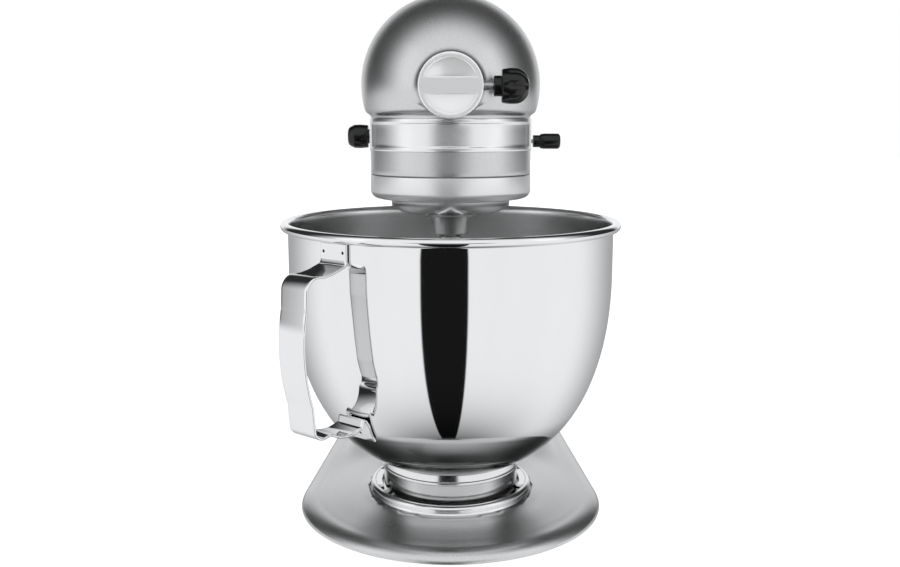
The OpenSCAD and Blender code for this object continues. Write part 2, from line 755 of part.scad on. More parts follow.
module front_bearing() {
    color([0.7, 0.71, 0.72]) translate([0, 24, motor_z]) along_y() difference() {
        union() {
            cylinder(r = 14, h = 8);
            translate([-40, -6, 1]) cube([80, 12, 5]);
        }
        translate([0, 0, -1]) cylinder(r = 4.05, h = 20, $fn = small_fn);
    }
}

module rear_bearing() {
    color([0.7, 0.71, 0.72]) translate([0, 186, motor_z]) along_y() difference() {
        union() {
            cylinder(r = 12, h = 8);
            translate([-46, -5, 1]) cube([92, 10, 5]);
        }
        translate([0, 0, -1]) cylinder(r = 4.05, h = 20, $fn = small_fn);
    }
}

module speed_plate() {
    color([0.5, 0.4, 0.25]) translate([0, 166, motor_z]) along_y() difference() {
        cylinder(r = 28, h = 3);
        translate([0, 0, -1]) cylinder(r = 9, h = 20, $fn = small_fn);
        translate([-40, 14, -1]) cube([80, 30, 8]);
    }
}

module cord_way() translate([24, 218, 274]) along_y() children();
module cord_grommet() {
    color(black) cord_way() difference() {
        union() {
            translate([0, 0, 6]) cylinder(r = 6, h = 12.5, $fn = small_fn);
            translate([0, 0, 6]) cylinder(r = 7.2, h = 2, $fn = small_fn);
        }
        translate([0, 0, 5]) cylinder(r = 3.4, h = 20, $fn = small_fn);
    }
}

// ---------- levers ----------

module lock_lever() {
    color(steel) {
        // bar that slides into the catch, the riser and the arm through the case's slot
        translate([-6, catch_y + 5.5, case_z + 5]) cube([12, 20, 5]);
        translate([-48, catch_y + 17, case_z + 5.2]) cube([54, 6, 2.4]);
        translate([-48, lock_y - 3.5, case_z + 5.2]) cube([6, 39.5, 2.4]);
        translate([-48, lock_y - 3.5, case_z + 5.2]) cube([2.4, 7, lock_z - case_z - 3.5]);
        translate([-66, lock_y - 3.5, lock_z - 1.6]) cube([20.4, 7, 3.2]);
    }
}

module lock_knob() {
    color(black) translate([-65, lock_y, lock_z]) rotate([0, -90, 0]) difference() {
        union() {
            rotate_extrude($fn = 64) polygon(concat(
                [[0, 0], [8.4, 0], [9.3, 0.9], [9.3, 8]], arc(1.3, 8, 8, 0, 90, 8), [[0, 16]]));
            translate([0, 0, -1]) cylinder(r = 5.6, h = 2, $fn = small_fn);
        }
        translate([-1.7, -3.6, -2]) cube([3.4, 7.2, 4.2]);
    }
}

module speed_lever() {
    color(steel) {
        translate([45, speed_y - 3.5, speed_z - 1.5]) cube([23, 7, 3]);
        translate([42, speed_y - 3.5, speed_z - 1.5]) cube([4, 7, 14]);
        translate([30, speed_y - 3.5, speed_z + 10]) cube([14, 7, 2.5]);
    }
}

module speed_knob() {
    color(black) difference() {
        union() {
            translate([71.7, speed_y, speed_z]) along_x() rotate_extrude($fn = 64) polygon(concat(
                [[0, 0], [5.5, 0], [6.1, 0.7]], arc(3.7, 13.7, 2.4, 0, 90, 5), [[0, 16.1]]));
            translate([66, speed_y, speed_z]) along_x() cylinder(r = 4.8, h = 6, $fn = small_fn);
        }
        translate([64, speed_y - 3.6, speed_z - 1.6]) cube([4.2, 7.2, 3.2]);
    }
}

// ---------- planetary drive ----------

module planetary() {
    dish_r = planet_r - planet_dish[0];
    dish_z = planet_low + planet_dish[1];
    color(paint) difference() {
        union() {
            rotate_extrude($fn = 128) polygon(concat(
                [[0, planet_low]],
                [for (a = [-90:9:0]) [dish_r + planet_dish[0] * cos(a), dish_z + planet_dish[1] * sin(a)]],
                [[planet_r, planet_high], [0, planet_high]]));
            translate([0, 0, planet_high - 1]) cylinder(r = 10.5, h = gear_high + 1.3 - planet_high);
            // boss of the beater shaft, with a fillet under the disc
            translate([0, -offset_r, 0]) rotate_extrude() polygon(concat(
                [[0, boss_low + 0.8], [0, boss_low], [boss_r - 0.8, boss_low], [boss_r, boss_low + 0.8],
                 [boss_r, planet_low - 5]],
                arc(boss_r + 6, planet_low - 5, 6, 180, 95, 6),
                [[boss_r + 5, planet_low + 2], [0, planet_low + 2]]));
            // the boss is carried forward to the disc's edge
            translate([0, boss_r - planet_r, 0]) rotate_extrude() polygon([
                [0, boss_low], [boss_r - 0.8, boss_low], [boss_r, boss_low + 0.8], [boss_r, planet_high - 1],
                [0, planet_high - 1]]);
        }
        translate([0, 0, planet_low + 1.5]) cylinder(r = centre_r + 0.02, h = 60);
        translate([0, -offset_r, 100]) cylinder(r = journal_r + run_gap, h = 200);
        translate([-30, 0, 226]) along_x() cylinder(r = 1.55, h = 60, $fn = small_fn);
    }
}

module centre_shaft() {
    color(steel) difference() {
        translate([0, 0, planet_low + 1.6]) cylinder(r = centre_r, h = 275 - planet_low - 1.6);
        translate([-30, 0, 226]) along_x() cylinder(r = 1.55, h = 60, $fn = small_fn);
    }
}

module planetary_pin() {
    color(steel) translate([-10.4, 0, 226]) along_x() cylinder(r = 1.5, h = 20.8, $fn = small_fn);
}

// A straight bevel gear, drawn in the plane of its large end and narrowing towards the apex
module bevel(teeth, pitch_r, addendum, dedendum, face, root_half, tip_half) {
    linear_extrude(face, scale = bevel_scale)
        ring_of_teeth(teeth, pitch_r - dedendum, pitch_r + addendum, root_half, tip_half);
}

tooth_up = 1.05;
tooth_down = 1.45;
module centre_gear() {
    lean = cos(crown_tilt);
    color(steel) difference() {
        union() {
            translate([0, 0, hub_z - bevel_r])
                bevel(crown_teeth, crown_r, tooth_up / lean, tooth_down / lean,
                      bevel_r * (1 - bevel_scale), 0.27, 0.15);
            translate([0, 0, hub_z - bevel_r - 6]) cylinder(r1 = 20, r2 = 24, h = 6.02);
            translate([0, 0, 258]) cylinder(r = 20, h = 15);
            translate([0, 0, 254]) cylinder(r = 13, h = 8);
        }
        translate([0, 0, 276.2]) cylinder(r = 16.6, h = 20);
        translate([0, 0, 200]) cylinder(r = centre_r + 0.02, h = 100);
    }
}

module bevel_pinion(turn) {
    lean = sin(crown_tilt);
    // drawn with its apex at the origin and its axis along +Z
    translate([0, 0, crown_r]) mirror([0, 0, 1]) rotate(turn)
        bevel(bevel_teeth, bevel_r, tooth_up / lean, tooth_down / lean,
              crown_r * (1 - bevel_scale), 0.27, 0.15);
}

module cross_pinion() {
    color(steel) translate([0, 0, hub_z]) along_x() difference() {
        union() {
            bevel_pinion(bevel_half_turn);
            translate([0, 0, crown_r]) cylinder(r = 9, h = 5);
        }
        cylinder(r = 4.02, h = 100);
    }
}

module cross_shaft() {
    color(steel) translate([-42, 0, hub_z]) along_x() cylinder(r = 4, h = 84);
}

module worm_wheel() {
    width = 7;
    twist = -width * tan(worm_angle) / wheel_r * 180 / PI;
    color([0.75, 0.6, 0.35]) translate([0, 0, hub_z]) rotate([0, 90, 0]) difference() {
        rotate(twist / 2) linear_extrude(width, center = true, twist = twist, slices = 4)
            ring_of_teeth(wheel_teeth, wheel_r - worm_module * 1.2, wheel_r + worm_module * 0.85,
                          0.24, 0.13);
        cylinder(r = 4.02, h = 40, center = true);
    }
}

// Two threads wound on a core by a swept trapezium
module worm() {
    length = 20;
    turns = length / worm_lead;
    steps = ceil(turns * 20);
    root = worm_r - worm_module * 1.05;
    tip = worm_r + worm_module * 0.85;
    color(steel) translate([0, 0, motor_z]) rotate([-90, 0, 0]) {
        translate([0, 0, -length / 2 - 3]) tube(root, 2.42, length + 6);
        for (s = [0:worm_starts - 1]) loft([for (i = [0:steps]) let (
                a = 360 * turns * (i / steps - 0.5) + worm_phase + 360 / worm_starts * s,
                z = length * (i / steps - 0.5))
            [for (k = [[root - 0.25, 0.85], [tip, 0.4], [tip, -0.4], [root - 0.25, -0.85]])
                [k[0] * cos(a), k[0] * sin(a), z + k[1]]]]);
    }
}
worm_phase = 0;

module motor_shaft() {
    color(steel) translate([0, -15, motor_z]) along_y() union() {
        translate([0, 0, -3]) cylinder(r = 2.4, h = 36);
        translate([0, 0, 32]) cylinder(r = 4, h = 178);
    }
}

module armature() {
    slots = 14;
    color([0.5, 0.42, 0.36]) translate([0, 60, motor_z]) along_y() difference() {
        union() {
            cylinder(r = 20, h = 48);
            translate([0, 0, -6]) cylinder(r = 15, h = 58);
        }
        translate([0, 0, -20]) cylinder(r = 4.02, h = 100);
        for (i = [0:slots - 1]) rotate(360 / slots * i) translate([18.2, -0.8, -1]) cube([4, 1.6, 52]);
    }
}

module fan() {
    blades = 10;
    color([0.25, 0.25, 0.27]) translate([0, 145, motor_z]) along_y() difference() {
        union() {
            cylinder(r = 9, h = 10);
            cylinder(r = 32, h = 1.6);
            for (i = [0:blades - 1]) rotate(360 / blades * i) translate([8, -0.8, 0]) cube([23, 1.6, 9]);
        }
        translate([0, 0, -20]) cylinder(r = 4.02, h = 100);
    }
}

module commutator() {
    bars = 20;
    color([0.72, 0.45, 0.25]) translate([0, 121, motor_z]) along_y() difference() {
        cylinder(r = 12.5, h = 16);
        translate([0, 0, -20]) cylinder(r = 4.02, h = 100);
        for (i = [0:bars - 1]) rotate(360 / bars * i) translate([11.9, -0.25, -1]) cube([2, 0.5, 20]);
    }
}

module hub_drive() {
    color(steel) translate([0, 0, hub_z]) rotate([90, 0, 0]) difference() {
        union() {
            bevel_pinion(bevel_half_turn);
            translate([0, 0, crown_r]) cylinder(r = 9, h = 8);
            translate([0, 0, crown_r + 8]) cylinder(r = 12, h = 7.8);
            translate([0, 0, crown_r + 15]) cylinder(r = 8, h = sleeve_back - crown_r - 15.1);
        }
        translate([-4.2, -4.2, 38]) cube([8.4, 8.4, 20]);
    }
}
bevel_half_turn = 180 / bevel_teeth;

module beater_shaft() {
    color(steel) translate([0, -offset_r, 0]) difference() {
        union() {
            translate([0, 0, 165]) cylinder(r1 = beater_r - 1, r2 = beater_r, h = 1.5);
            translate([0, 0, 166.5]) cylinder(r = beater_r, h = 17.5);
            translate([0, 0, 183.9]) cylinder(r = beater_r - 0.65, h = 14);
            translate([0, 0, 197]) cylinder(r = journal_r, h = 24.6);
            translate([0, 0, 221]) cylinder(r = 4, h = 10.4);
        }
        translate([-20, 0, 186]) along_x() cylinder(r = 1.75, h = 40, $fn = small_fn);
    }
}

module beater_pinion() {
    pitch_r = ring_module * pinion_teeth / 2;
    color(steel) translate([0, -offset_r, gear_low])
        linear_extrude(gear_high - gear_low - 0.2) difference() {
        ring_of_teeth(pinion_teeth, pitch_r - ring_module * 1.1, pitch_r + ring_module * 0.75, 0.27, 0.15);
        circle(r = 4.02);
    }
}

module beater_pin() {
    color(steel) translate([-9.5, -offset_r, 186]) along_x() cylinder(r = 1.7, h = 19, $fn = small_fn);
}

// Coil spring between the boss and the washer, drawn as its separate turns
module beater_spring() {
    color(steel) translate([0, -offset_r, 0]) for (z = [190.9:1.9:196.6]) translate([0, 0, z])
        rotate_extrude($fn = 64) translate([7.6, 0]) circle(r = 0.7, $fn = 16);
}

module beater_washer() {
    color(steel) translate([0, -offset_r, 188.2]) tube(9, beater_r + 0.1, 1.4);
}

// ---------- drawing ----------

module placed() translate([0, bowl_y, 0]) children();

placed() base_casting();
placed() column();
placed() foot_pads();
placed() column_screws();
placed() clamp_plate();
placed() clamp_screws();
placed() hinge_pin();
placed() hinge_grub_screw();
placed() height_screw();
placed() lock_catch();
placed() bowl_shell();
placed() bowl_foot();
placed() bowl_handle();
placed() motor_housing();
placed() gear_case();
placed() trim_band();
placed() band_screws();
placed() drip_ring();
placed() rear_cover();
placed() rear_cover_screw();
placed() hub_sleeve();
placed() ring_gear();
placed() planetary_bush();
placed() case_screws();
placed() cross_shaft_bushes();
placed() stator();
placed() brush_holders();
placed() brush_caps();
placed() front_bearing();
placed() rear_bearing();
placed() speed_plate();
placed() cord_grommet();
placed() lock_lever();
placed() lock_knob();
placed() speed_lever();
placed() speed_knob();
placed() hub_cover();
placed() clamp_stud();
placed() clamp_knob();
placed() planetary();
placed() centre_shaft();
placed() centre_gear();
placed() planetary_pin();
placed() beater_shaft();
placed() beater_pinion();
placed() beater_pin();
placed() beater_spring();
placed() beater_washer();
placed() motor_shaft();
placed() armature();
placed() worm();
placed() fan();
placed() commutator();
placed() cross_shaft();
placed() worm_wheel();
placed() cross_pinion();
placed() hub_drive();
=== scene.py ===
import json
import math

import bmesh
import bpy
from mathutils import Matrix, Vector


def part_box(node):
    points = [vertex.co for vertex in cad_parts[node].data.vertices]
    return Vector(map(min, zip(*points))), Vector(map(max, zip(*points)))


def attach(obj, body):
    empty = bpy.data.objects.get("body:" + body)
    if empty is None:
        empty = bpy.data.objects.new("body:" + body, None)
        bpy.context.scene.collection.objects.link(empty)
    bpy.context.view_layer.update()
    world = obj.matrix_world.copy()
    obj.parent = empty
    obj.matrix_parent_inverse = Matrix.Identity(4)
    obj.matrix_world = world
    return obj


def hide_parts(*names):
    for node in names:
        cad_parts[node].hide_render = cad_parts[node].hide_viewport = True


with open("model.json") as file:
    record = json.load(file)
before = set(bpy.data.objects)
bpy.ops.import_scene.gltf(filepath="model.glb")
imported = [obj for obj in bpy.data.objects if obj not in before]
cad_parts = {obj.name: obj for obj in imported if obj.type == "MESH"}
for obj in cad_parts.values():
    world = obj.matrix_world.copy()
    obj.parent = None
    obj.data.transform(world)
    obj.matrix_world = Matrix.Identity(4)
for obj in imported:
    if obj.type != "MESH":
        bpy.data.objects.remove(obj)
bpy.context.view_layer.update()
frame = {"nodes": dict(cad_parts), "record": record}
nodes = frame["nodes"]
slotOf = {s["node"]: s["material_slot"] for s in frame["record"]["subparts"]}
ringLow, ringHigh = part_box("ring_gear")
bowlAxis = Vector((0, (ringLow.y + ringHigh.y) / 2, 0))
# every new piece is shaped in millimetres about the bowl's axis, then put in the row's frame
toRow = Matrix.Translation(bowlAxis) @ Matrix.Scale(0.001, 4)
hubZ = 290.3  # height of the attachment hub's axis
print("frame loaded:", len(nodes), "nodes")


# shader helpers


class Value:
    # one output socket; arithmetic on it adds Math nodes
    def __init__(self, tree, socket):
        self.tree, self.socket = tree, socket

    def maths(self, operation, *others):
        return self.tree.node("ShaderNodeMath", {"operation": operation}, dict(enumerate(others)))

    def __add__(self, other):
        return self.maths("ADD", self, other)

    def __radd__(self, other):
        return self.maths("ADD", other, self)

    def __sub__(self, other):
        return self.maths("SUBTRACT", self, other)

    def __rsub__(self, other):
        return self.maths("SUBTRACT", other, self)

    def __mul__(self, other):
        return self.maths("MULTIPLY", self, other)

    def __rmul__(self, other):
        return self.maths("MULTIPLY", other, self)

    def __truediv__(self, other):
        return self.maths("DIVIDE", self, other)

    def __pow__(self, other):
        return self.maths("POWER", self, other)

    def __abs__(self):
        return self.maths("ABSOLUTE", self)

    def smooth(self, start, end):
        # 0 below start, 1 above end, eased between
        settings = {"interpolation_type": "SMOOTHSTEP", "clamp": True}
        return self.tree.node("ShaderNodeMapRange", settings,
                              {"Value": self, "From Min": start, "From Max": end})


class Tree:
    def __init__(self, owner):
        owner.use_nodes = True
        self.tree = owner.node_tree
        self.tree.nodes.clear()

    def node(self, kind, settings=None, inputs=None, output=0):
        made = self.tree.nodes.new(kind)
        for name, value in (settings or {}).items():
            if name == "stops":
                ramp = made.color_ramp
                while len(ramp.elements) < len(value):
                    ramp.elements.new(0.5)
                for element, (place, colour) in zip(ramp.elements, value):
                    element.position, element.color = place, colour
            else:
                setattr(made, name, value)
        for name, value in (inputs or {}).items():
            if isinstance(value, Value):
                self.tree.links.new(value.socket, made.inputs[name])
            else:
                made.inputs[name].default_value = value
        return Value(self, made.outputs[output]) if made.outputs else None

    def mixColour(self, factor, first, second):
        made = self.tree.nodes.new("ShaderNodeMix")
        made.data_type = "RGBA"
        for index, value in ((0, factor), (6, first), (7, second)):
            if isinstance(value, Value):
                self.tree.links.new(value.socket, made.inputs[index])
            else:
                made.inputs[index].default_value = value
        return Value(self, made.outputs[2])

    def place(self, scale=(1, 1, 1), turn=(0, 0, 0)):
        where = self.node("ShaderNodeTexCoord", output="Object")
        return self.node("ShaderNodeMapping", {}, {"Vector": where, "Scale": scale, "Rotation": turn})

    def parts(self, vector):
        split = self.node("ShaderNodeSeparateXYZ", {}, {"Vector": vector}).socket.node
        return [Value(self, split.outputs[axis]) for axis in "XYZ"]

    def noise(self, vector, scale, detail=3, rough=0.55):
        return self.node("ShaderNodeTexNoise", {}, {"Vector": vector, "Scale": scale,
                                                    "Detail": detail, "Roughness": rough})


def grey(level):
    return (level, level, level, 1)


def surface(name, fixed, varying):
    # a material; varying gets the tree and returns what changes over the surface
    material = bpy.data.materials.new(name)
    tree = Tree(material)
    inputs = dict(fixed)
    inputs.update(varying(tree))
    shader = tree.node("ShaderNodeBsdfPrincipled", {}, inputs)
    tree.node("ShaderNodeOutputMaterial", {}, {"Surface": shader})
    return material


def bumped(tree, height, strength, distance):
    return tree.node("ShaderNodeBump", {}, {"Height": height, "Strength": strength,
                                            "Distance": distance})


# finishes

paintLook = {"light": 0.71, "dark": 0.60, "roughness": 0.31, "flakes": 2600}


def silverPaint(tree):
    spot = tree.place()
    flakes = tree.node("ShaderNodeTexVoronoi", {"feature": "F1"},
                       {"Vector": spot, "Scale": paintLook["flakes"]}, "Color")
    sparkle = tree.node("ShaderNodeSeparateColor", {}, {"Color": flakes})
    cloud = tree.noise(spot, 30)
    tone = tree.mixColour(sparkle * 0.7 + cloud * 0.3,
                          grey(paintLook["dark"]), grey(paintLook["light"]))
    orangePeel = tree.noise(spot, 420, 1)
    return {"Base Color": tone,
            "Roughness": paintLook["roughness"] + (cloud - 0.5) * 0.08 + (sparkle - 0.5) * 0.06,
            "Normal": bumped(tree, orangePeel + sparkle * 0.05, 0.08, 0.0002)}


def ringBrushed(base, spread, roughness, density, depth=0.2):
    # lines run round the vertical axis through the bowl, as on a turned or spun part
    def varying(tree):
        where = tree.node("ShaderNodeTexCoord", output="Object")
        centred = tree.node("ShaderNodeMapping", {}, {"Vector": where, "Location": tuple(-bowlAxis)})
        east, north, up = tree.parts(centred)
        reach = (east * east + north * north) ** 0.5
        turn = north.maths("ARCTAN2", north, east)
        lineSpot = tree.node("ShaderNodeCombineXYZ", {}, {"X": reach * density, "Y": turn * 1.2,
                                                          "Z": up * density})
        lines = tree.noise(lineSpot, 1, 4, 0.62)
        patches = tree.noise(centred, 14)
        tone = tree.mixColour(lines, grey(base - spread), grey(base + spread))
        return {"Base Color": tone,
                "Roughness": roughness + (lines - 0.5) * depth + (patches - 0.5) * 0.08,
                "Normal": bumped(tree, lines, depth, 0.0001)}
    return varying


def hubTurned(tree):
    # fine turning marks about the hub's axis, which runs front to back
    where = tree.node("ShaderNodeTexCoord", output="Object")
    centred = tree.node("ShaderNodeMapping", {}, {"Vector": where, "Location": (0, 0, -hubZ / 1000)})
    east, north, up = tree.parts(centred)
    reach = (east * east + up * up) ** 0.5
    lines = tree.noise(tree.node("ShaderNodeCombineXYZ", {}, {"X": reach * 2400}), 1, 3)
    return {"Base Color": tree.mixColour(lines, grey(0.90), grey(0.95)),
            "Roughness": 0.24 + (lines - 0.5) * 0.08,
            "Normal": bumped(tree, lines, 0.05, 0.00005)}


def mirrorSteel(tree):
    smear = tree.noise(tree.place((1, 1, 0.25)), 26, 4)
    ripple = tree.noise(tree.place(), 9, 1)
    return {"Base Color": tree.mixColour(smear, grey(0.80), grey(0.86)),
            "Roughness": 0.035 + smear.smooth(0.45, 0.8) * 0.03,
            "Normal": bumped(tree, ripple, 0.05, 0.0006)}


def bowlSteelPaintedShade(tree):
    # mirror polish with painted shade low down: the colour is darkened where the bowl turns in over the
    # base, standing in for the shaded base it reflects there
    finish = mirrorSteel(tree)
    # painted shade: dark grey below 62 mm up, easing back to the polish by 80 mm
    low = tree.parts(tree.place())[2].smooth(0.062, 0.080)
    finish["Base Color"] = tree.mixColour(low, grey(0.20), finish["Base Color"])
    return finish


def plainMetal(base, spread, roughness, scale):
    def varying(tree):
        grain = tree.noise(tree.place(), scale, 4)
        wear = tree.noise(tree.place(), 60, 2)
        tone = tree.mixColour(grain, grey(base - spread), grey(base + spread))
        return {"Base Color": tone,
                "Roughness": roughness + (grain - 0.5) * 0.16 + (wear - 0.5) * 0.12,
                "Normal": bumped(tree, grain, 0.12, 0.0002)}
    return varying


def tinted(low, high, roughness, scale, depth=0.0002, strength=0.15):
    def varying(tree):
        grain = tree.noise(tree.place(), scale, 4)
        return {"Base Color": tree.mixColour(grain, low, high),
                "Roughness": roughness + (grain - 0.5) * 0.18,
                "Normal": bumped(tree, grain, strength, depth)}
    return varying


def laminated(tree):
    # thin stacked sheets with varnish
    sheets = tree.node("ShaderNodeTexWave", {"bands_direction": "Y"},
                       {"Vector": tree.place(), "Scale": 320, "Distortion": 0.3})
    level = tree.node("ShaderNodeSeparateColor", {}, {"Color": sheets})
    grain = tree.noise(tree.place(), 300)
    varnish, edge = (0.12, 0.1, 0.09, 1), (0.34, 0.3, 0.27, 1)
    return {"Base Color": tree.mixColour(level * 0.6 + grain * 0.4, varnish, edge),
            "Roughness": 0.4 + grain * 0.15,
            "Normal": bumped(tree, level, 0.3, 0.0003)}


def glossBlack(tree):
    haze = tree.noise(tree.place(), 90, 3)
    specks = tree.noise(tree.place(), 900, 1)
    return {"Base Color": tree.mixColour(haze, grey(0.003), grey(0.007)),
            "Roughness": 0.09 + haze.smooth(0.4, 0.8) * 0.07,
            "Normal": bumped(tree, specks, 0.03, 0.0002)}


finishes = {
    "silver_paint": surface("silverPaint", {"Metallic": 0.96, "Coat Weight": 0.12, "Coat Roughness": 0.2},
                            silverPaint),
    "brushed_trim": surface("brushedTrim", {"Metallic": 0.9},
                            ringBrushed(0.86, 0.03, 0.25, 2600, 0.08)),
    "polished_steel": surface("polishedSteel", {"Metallic": 1.0}, mirrorSteel),
    "plated_steel": surface("platedSteel", {"Metallic": 1.0}, plainMetal(0.66, 0.06, 0.28, 240)),
    "gear_steel": surface("gearSteel", {"Metallic": 1.0}, plainMetal(0.44, 0.06, 0.36, 180)),
    "bronze": surface("bronzeBush", {"Metallic": 1.0},
                      tinted((0.50, 0.33, 0.14, 1), (0.68, 0.48, 0.24, 1), 0.36, 260)),
    "copper": surface("copperBars", {"Metallic": 1.0},
                      tinted((0.58, 0.27, 0.13, 1), (0.78, 0.42, 0.24, 1), 0.34, 300)),
    "laminations": surface("varnishedSheets", {"Metallic": 0.6}, laminated),
    "bearing_casting": surface("rawCasting", {"Metallic": 1.0}, plainMetal(0.52, 0.08, 0.5, 700)),
    "black_plastic": surface("glossBlack", {"Specular IOR Level": 0.4}, glossBlack),
    "dark_plastic": surface("mattMoulding", {}, tinted(grey(0.03), grey(0.06), 0.55, 900, 0.0003, 0.3)),
    "rubber": surface("footRubber", {}, tinted(grey(0.012), grey(0.03), 0.75, 1400, 0.0004, 0.4)),
}
satinSteel = surface("satinInside", {"Metallic": 1.0}, ringBrushed(0.84, 0.05, 0.22, 1500, 0.12))
satinRing = surface("satinRing", {"Metallic": 0.7}, ringBrushed(0.90, 0.02, 0.32, 1700, 0.08))
bowlMirrorPaintedShade = surface("bowlMirrorPaintedShade", {"Metallic": 1.0}, bowlSteelPaintedShade)
turnedSteel = surface("turnedSteel", {"Metallic": 1.0}, ringBrushed(0.80, 0.04, 0.16, 2200, 0.06))
brightTrim = surface("brightTrim", {"Metallic": 0.55}, hubTurned)
print("finishes made:", len(finishes) + 5)


# shaping helpers


def arc(cx, cy, r, start, end, steps):
    turns = [math.radians(start + (end - start) * i / steps) for i in range(steps + 1)]
    return [(cx + r * math.cos(a), cy + r * math.sin(a)) for a in turns]


def rounded(corners, steps=5):
    # a line through (x, y, radius) corners, each corner given a round of that radius
    line = []
    for i, (x, y, r) in enumerate(corners):
        here = Vector((x, y))
        if r == 0 or i in (0, len(corners) - 1):
            line.append((x, y))
            continue
        before = (Vector(corners[i - 1][:2]) - here).normalized()
        after = (Vector(corners[i + 1][:2]) - here).normalized()
        half = before.angle(after) / 2
        centre = here + (before + after).normalized() * (r / math.sin(half))
        start = here + before * (r / math.tan(half)) - centre
        sweep = math.copysign(math.pi - 2 * half, before.x * after.y - before.y * after.x)
        for k in range(steps + 1):
            turn = -sweep * k / steps
            line.append((centre.x + start.x * math.cos(turn) - start.y * math.sin(turn),
                         centre.y + start.x * math.sin(turn) + start.y * math.cos(turn)))
    return line


def spun(line, steps=128, angle=360, begin=0):
    # turns a (radius, z) line round the bowl's axis
    bm = bmesh.new()
    turn = Matrix.Rotation(math.radians(begin), 4, "Z")
    points = [bm.verts.new(turn @ Vector((r, 0, z))) for r, z in line]
    edges = [bm.edges.new(pair) for pair in zip(points, points[1:])]
    bmesh.ops.spin(bm, geom=points + edges, axis=(0, 0, 1), cent=(0, 0, 0), steps=steps,
                   angle=math.radians(angle), use_merge=angle == 360)
    return bm


def sheet(columns, rows, place):
    # a grid whose points are put by place(column, row)
    bm = bmesh.new()
    bmesh.ops.create_grid(bm, x_segments=columns, y_segments=rows, size=1)
    for v in bm.verts:
        v.co = place(round((v.co.x + 1) / 2 * columns), round((v.co.y + 1) / 2 * rows))
    return bm


def joined(first, *others):
    for other in others:
        spare = bpy.data.meshes.new("spare")
        other.to_mesh(spare)
        other.free()
        first.from_mesh(spare)
        bpy.data.meshes.remove(spare)
    return first


def aimed(bm, matrix):
    bmesh.ops.transform(bm, matrix=matrix, verts=bm.verts)
    return bm


def ease(t):
    t = max(0, min(1, t))
    return t * t * (3 - 2 * t)


def blended(weights, points, axis):
    return sum(w * p[axis] for w, p in zip(weights, points))


def halves(bm, place, normal, **options):
    geom = bm.verts[:] + bm.edges[:] + bm.faces[:]
    bmesh.ops.bisect_plane(bm, geom=geom, plane_co=place, plane_no=normal, **options)


def closeUp(bm):
    bmesh.ops.remove_doubles(bm, verts=bm.verts, dist=0.002)
    bmesh.ops.recalc_face_normals(bm, faces=bm.faces)
    return bm


def smoothed(mesh, angle):
    for face in mesh.polygons:
        face.use_smooth = True
    mesh.set_sharp_from_angle(angle=math.radians(angle))


def piece(bm, name, body, replaced, materials, angle=35):
    bmesh.ops.transform(bm, matrix=toRow, verts=bm.verts)
    mesh = bpy.data.meshes.new(name)
    bm.to_mesh(mesh)
    bm.free()
    smoothed(mesh, angle)
    made = bpy.data.objects.new(name, mesh)
    bpy.context.scene.collection.objects.link(made)
    for material in materials:
        mesh.materials.append(material)
    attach(made, body)
    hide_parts(*replaced)
    print("piece", name, len(mesh.polygons), "faces")
    return made


def fromCad(node):
    # a merged copy of a CAD node, in millimetres about the bowl's axis
    bm = bmesh.new()
    bm.from_mesh(nodes[node].data)
    bmesh.ops.remove_doubles(bm, verts=bm.verts, dist=0.000003)
    return aimed(bm, toRow.inverted())


def refined(node, name, body, angle=25):
    # a CAD node shaded smooth across its fine steps
    return piece(fromCad(node), name, body, [node], [finishes[slotOf[node]]], angle)


# head

head = {"domeR": 60, "domeZ": 293, "noseY": 10, "noseLength": 70, "taperY": 120, "coverY": 205,
        "coverR": 52, "rearY": 239.6, "hubR": 19.5, "hubFront": -78, "filletR": 25,
        "cutZ": 277, "lipX": 4.0, "wall": 2.6, "seamZ": 263.2, "bandEnd": 186.2, "groove": 1.0}


def domeY(x, z):
    reach = min(1, math.hypot(x, z - head["domeZ"]) / head["domeR"])
    return head["noseY"] - head["noseLength"] * math.sqrt(max(0, 1 - reach * reach))


def bodyR(y):
    share = (y - head["taperY"]) / (head["coverY"] - head["taperY"])
    return head["domeR"] - (head["domeR"] - head["coverR"]) * share ** 2


def nosePoint(r, turn):
    # rings round the hub's axis that ease over to the body's axis
    share = ease((r - head["filletR"]) / (57 - head["filletR"]))
    z = hubZ + (head["domeZ"] - hubZ) * share + r * math.cos(turn)
    x = r * math.sin(turn)
    return Vector((x, domeY(x, z), z))


def bodyPoint(r, y, turn):
    return Vector((r * math.sin(turn), y, head["domeZ"] + r * math.cos(turn)))


def skirtInward(p):
    # level direction from the round body's side towards the skirt under it
    if p.y < 0:
        return Vector((-p.x, -p.y, 0)).normalized()
    if p.y < head["coverY"] + 0.2:
        return Vector((-math.copysign(1, p.x), 0, 0))
    return Vector((-p.x / 48 ** 2, -(p.y - head["coverY"]) / 31 ** 2, 0)).normalized()


